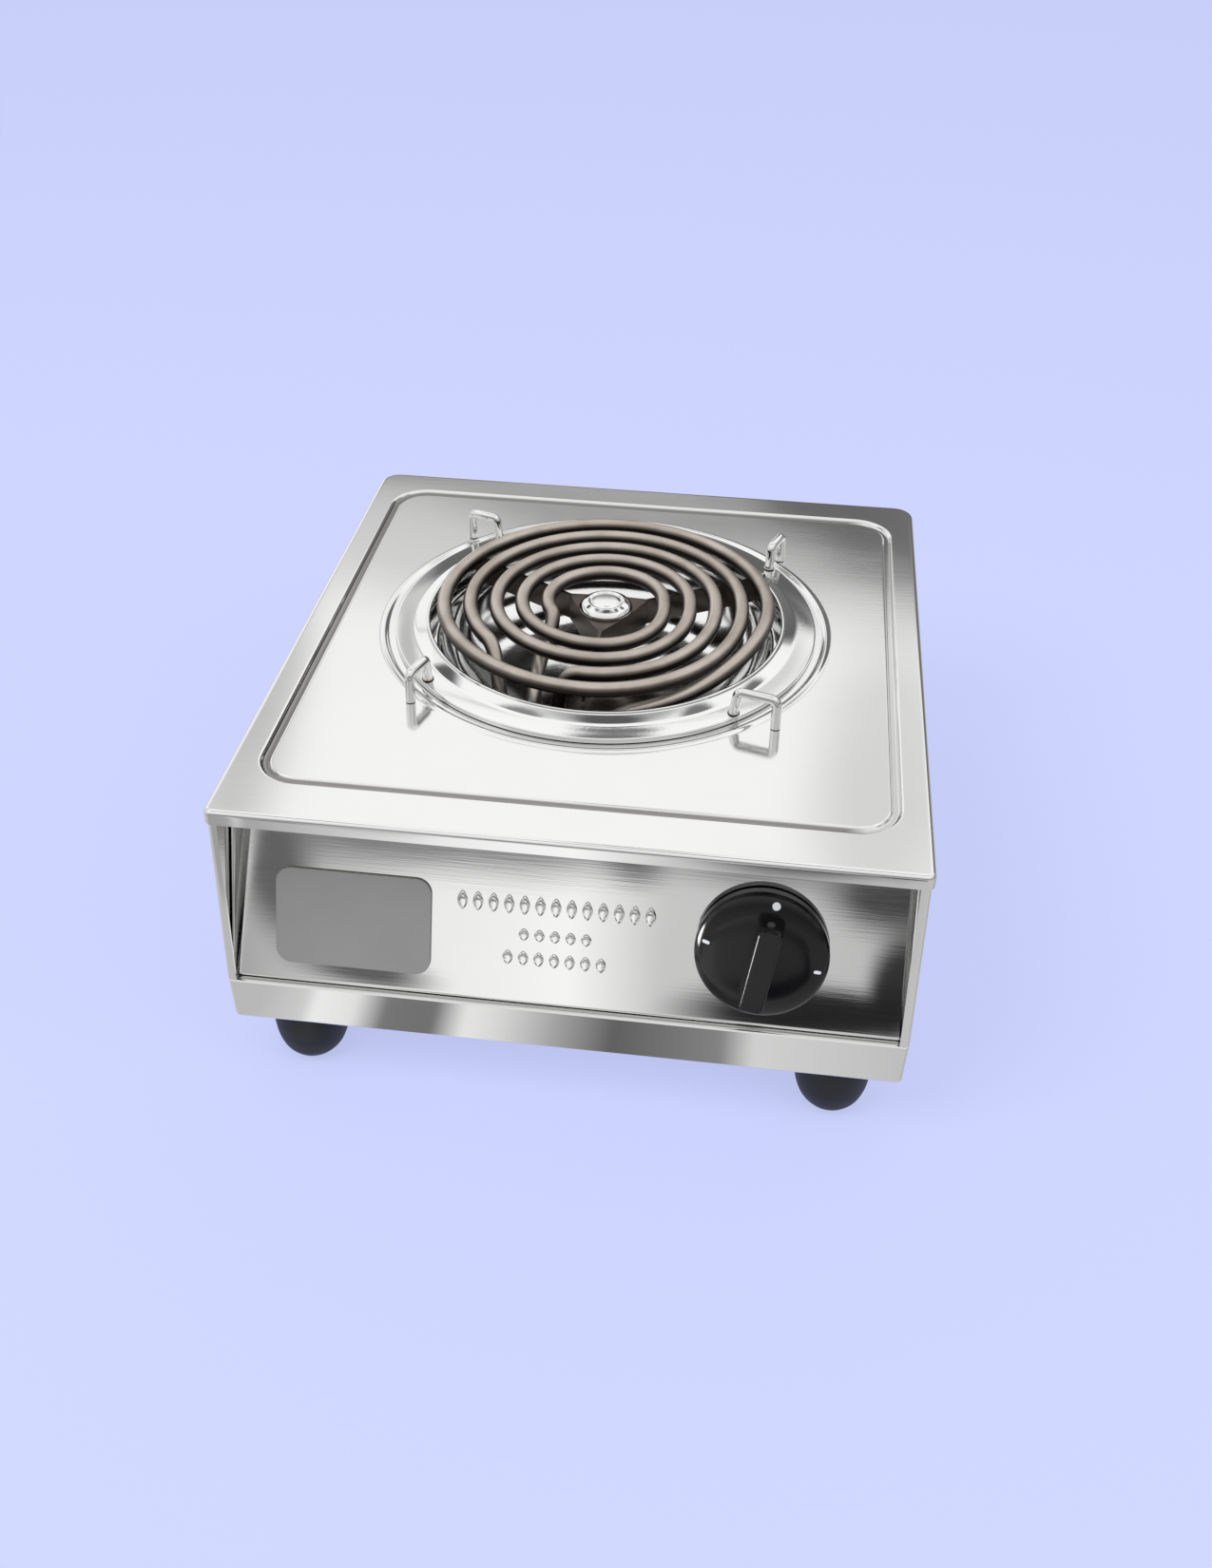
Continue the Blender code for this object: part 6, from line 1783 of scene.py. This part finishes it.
def clouded(bench, base, where, clouds):
    """A base tone with soft clouds over it, each of (centre, radii, turn, softness, tone)."""
    shaded = base
    for centre, radii, turn, soft, tone in clouds:
        shaded = bench.mix(blob(bench, where, centre, radii, turn, soft), shaded, (tone, tone, tone))
    return shaded


PLATE_CLOUDS = (
    ((-1.15, 1.95), (0.10, 0.55), 0.25, 0.6, 0.62),
    ((-1.45, 2.30), (0.12, 0.40), 0.25, 0.6, 0.70),
    ((-0.55, 2.62), (0.70, 0.05), 0.05, 0.6, 0.70),
    ((0.35, 2.50), (0.35, 0.06), 0.0, 0.6, 0.62),
    ((0.62, 2.05), (0.06, 0.40), 0.0, 0.6, 0.75),
    ((-0.80, 1.52), (0.34, 0.13), 0.2, 0.5, 0.75),
    ((-0.30, 1.38), (0.42, 0.035), 0.0, 0.5, 0.60),
    ((0.27, 1.46), (0.26, 0.085), 0.40, 0.25, 0.14),
    ((0.36, 2.10), (0.16, 0.40), 0.0, 0.6, 0.82),
    ((-0.25, 2.90), (0.20, 0.15), 0.0, 0.4, 0.20),
)


def build_back(bench):
    height = axis_of(bench, 2, 0.0, 3.0)
    tones = bench.grey(height, [(0.0, 0.22), (0.44, 0.14), (0.50, 0.40), (0.56, 1.12), (1.0, 1.18)])
    low_left = axis_of(bench, 0, 0.2, -0.6) * axis_of(bench, 2, 1.0, 0.4)
    far_left = axis_of(bench, 0, -0.9, -1.3) * axis_of(bench, 2, 1.7, 1.4)
    lit = bench.mix(low_left + far_left, tones, (1.1, 1.1, 1.1))
    return clouded(bench, lit, flat_place(bench, 0, 2), PLATE_CLOUDS)


CEILING_CLOUDS = (
    ((0.15, 0.25), (1.10, 0.34), 0.1, 0.6, 0.48),
    ((-0.25, 2.38), (0.22, 0.24), 0.0, 0.4, 0.20),
    ((0.02, 0.30), (0.42, 0.26), 0.3, 0.4, 0.12),
    ((-1.05, 0.70), (0.26, 0.38), 0.5, 0.4, 0.30),
    ((-2.40, 2.00), (0.60, 0.55), 0.5, 0.4, 0.12),
    ((1.00, 0.95), (0.26, 0.34), 0.5, 0.4, 0.22),
    ((1.70, 2.00), (0.45, 0.30), 0.8, 0.4, 0.20),
)


def build_ceiling(bench):
    depth = axis_of(bench, 1, -3.0, 3.0)
    base = bench.grey(depth, [(0.0, 0.9), (0.5, 1.15), (1.0, 1.18)])
    return clouded(bench, base, flat_place(bench, 0, 1), CEILING_CLOUDS)


LEFT_BANDS = ((0.0, 0.85), (0.10, 0.35), (0.22, 1.0), (0.45, 1.05), (0.60, 0.35), (0.75, 1.0), (1.0, 1.1))
RIGHT_BANDS = ((0.0, 0.25), (0.22, 0.18), (0.38, 0.90), (0.52, 0.30), (0.68, 1.0), (0.84, 0.40), (1.0, 1.1))
FRONT_BANDS = ((0.0, 0.50), (0.3, 0.22), (0.7, 0.75), (1.0, 0.9))


def build_left(bench):
    return bench.grey(axis_of(bench, 2, 0.0, 3.0), LEFT_BANDS)


def build_right(bench):
    return bench.grey(axis_of(bench, 2, 0.0, 3.0), RIGHT_BANDS)


def build_front(bench):
    return bench.grey(axis_of(bench, 2, 0.0, 3.0), FRONT_BANDS)


def build_plain(bench):
    return bench.grey(axis_of(bench, 0, -0.6, 0.6), [(0.0, 0.75), (0.5, 0.6), (1.0, 0.4)])


# The floor's tones by their place on the leaning panel: x and the height over its foot, in metres.
PANEL_CLOUDS = (
    ((-0.045, 0.074), (0.090, 0.017), 0.03, 0.6, 0.20),
    ((-0.118, 0.050), (0.014, 0.034), 0.15, 0.5, 0.14),
    ((-0.133, 0.034), (0.0025, 0.050), -0.16, 0.6, 0.95),
    ((-0.082, 0.005), (0.026, 0.007), -0.05, 0.6, 0.13),
    ((0.022, 0.069), (0.014, 0.010), -0.5, 0.6, 0.10),
    ((0.080, 0.073), (0.036, 0.013), 0.0, 0.6, 0.26),
    ((0.131, 0.024), (0.010, 0.024), 0.0, 0.4, 0.03),
    ((0.100, 0.007), (0.050, 0.013), 0.08, 0.4, 0.02),
    ((0.126, 0.061), (0.020, 0.013), 0.0, 0.5, 0.06),
)
BEHIND_CLOUDS = ((0.0, 0.42), (0.32, 1.05), (0.50, 1.15), (0.64, 0.72), (1.0, 0.62))
TRAY_TONES = ((0.0, 0.60), (0.07, 0.75), (0.09, 1.05), (0.15, 0.95), (0.20, 0.22), (0.28, 0.20), (0.33, 1.0))
TRAY_TONES += ((0.38, 0.85), (0.47, 0.45), (0.56, 0.14), (0.73, 0.28), (0.78, 0.80), (1.0, 0.65))
FOOT_OF_PANEL = on_panel(0, TRAY_TOP)
NORMAL = Vector((0, -cos(TILT), sin(TILT)))
TO_PANEL = (FOOT_OF_PANEL - camera.location).dot(NORMAL)
MIRROR_EYE = camera.location + 2 * TO_PANEL * NORMAL


def build_floor_tones(bench):
    """Seen in the leaning panel as clouds, and in the tray's front as upright bands."""
    here = bench.node("ShaderNodeTexCoord", out="Object")
    across = part_of(bench, here, 0)
    depth = part_of(bench, here, 1)
    nearness = TO_PANEL / ((depth - MIRROR_EYE.y) * -NORMAL.y + MIRROR_EYE.z * NORMAL.z)
    x = (across - MIRROR_EYE.x) * nearness + MIRROR_EYE.x
    rise = nearness * -MIRROR_EYE.z + (MIRROR_EYE.z - TRAY_TOP)
    where = bench.node("ShaderNodeCombineXYZ", {}, {0: x, 1: rise})
    base = bench.grey(axis_of(bench, 0, -0.14, 0.14, where), BEHIND_CLOUDS)
    panel_tones = clouded(bench, base, where, PANEL_CLOUDS)
    tray_tones = bench.grey(axis_of(bench, 0, -0.14, 0.14), TRAY_TONES)
    return bench.mix(axis_of(bench, 1, -0.26, -0.24), panel_tones, tray_tones)


FAR = 2.6
TALL = 3.0
LOW = 0.002
FRONT = plate_low.y - 0.004
BACK = plate_high.y + 0.004
SIDE = 0.144


def upright(start_x, start_y, end_x, end_y):
    """The corners of a standing card."""
    foot = level(((start_x, start_y), (end_x, end_y)), 0.02)
    return foot + level(((end_x, end_y), (start_x, start_y)), TALL)


CARDS = (
    ("back_card", upright(-4, FAR, 4, FAR), build_back),
    ("ceiling_card", lying(-4, -3, 4, 3, TALL), build_ceiling),
    ("left_card", upright(-3, -3, -3, 3), build_left),
    ("right_card", upright(3, -3, 3, 3), build_right),
    ("front_card", upright(-4, -3, 4, -3), build_front),
    ("front_floor_card", lying(-3, -3, 3, FRONT, LOW), build_floor_tones),
    ("back_floor_card", lying(-3, BACK, 3, 3, LOW), build_plain),
    ("left_floor_card", lying(-3, FRONT, -SIDE, BACK, LOW), build_plain),
    ("right_floor_card", lying(SIDE, FRONT, 3, BACK, LOW), build_plain),
)
for name, corners, build in CARDS:
    card = sheet_of(name, corners, lambda bench: glowing(bench, build(bench)))
    card.visible_camera = False
    card.visible_diffuse = False
    card.visible_transmission = False
    card.visible_volume_scatter = False
    card.visible_shadow = False
print("cards:", len(CARDS))


# %% Soft lamps
def lamp(name, stand, aim, size, watts, in_reflections=False):
    """A soft round lamp that faces a point."""
    made = linked(name, bpy.data.lights.new(name, "AREA"))
    made.data.shape = "DISK"
    made.data.size = size
    made.data.energy = watts
    made.location = stand
    made.rotation_euler = (Vector(aim) - Vector(stand)).to_track_quat("-Z", "Y").to_euler()
    made.visible_glossy = in_reflections
    return made


STOVE = (0, 0, 0.08)
lamp("key_lamp", (-0.9, -0.9, 1.6), STOVE, 1.1, 16)
lamp("fill_lamp", (1.4, -0.6, 1.1), STOVE, 1.3, 7)
edge_lamp = lamp("edge_lamp", (-0.26, -0.28, 0.03), AXIS, 0.2, 3.5, in_reflections=True)
edge_lamp.light_linking.receiver_collection = bpy.data.collections.new("lit_by_the_edge_lamp")
edge_lamp.light_linking.receiver_collection.objects.link(knob)
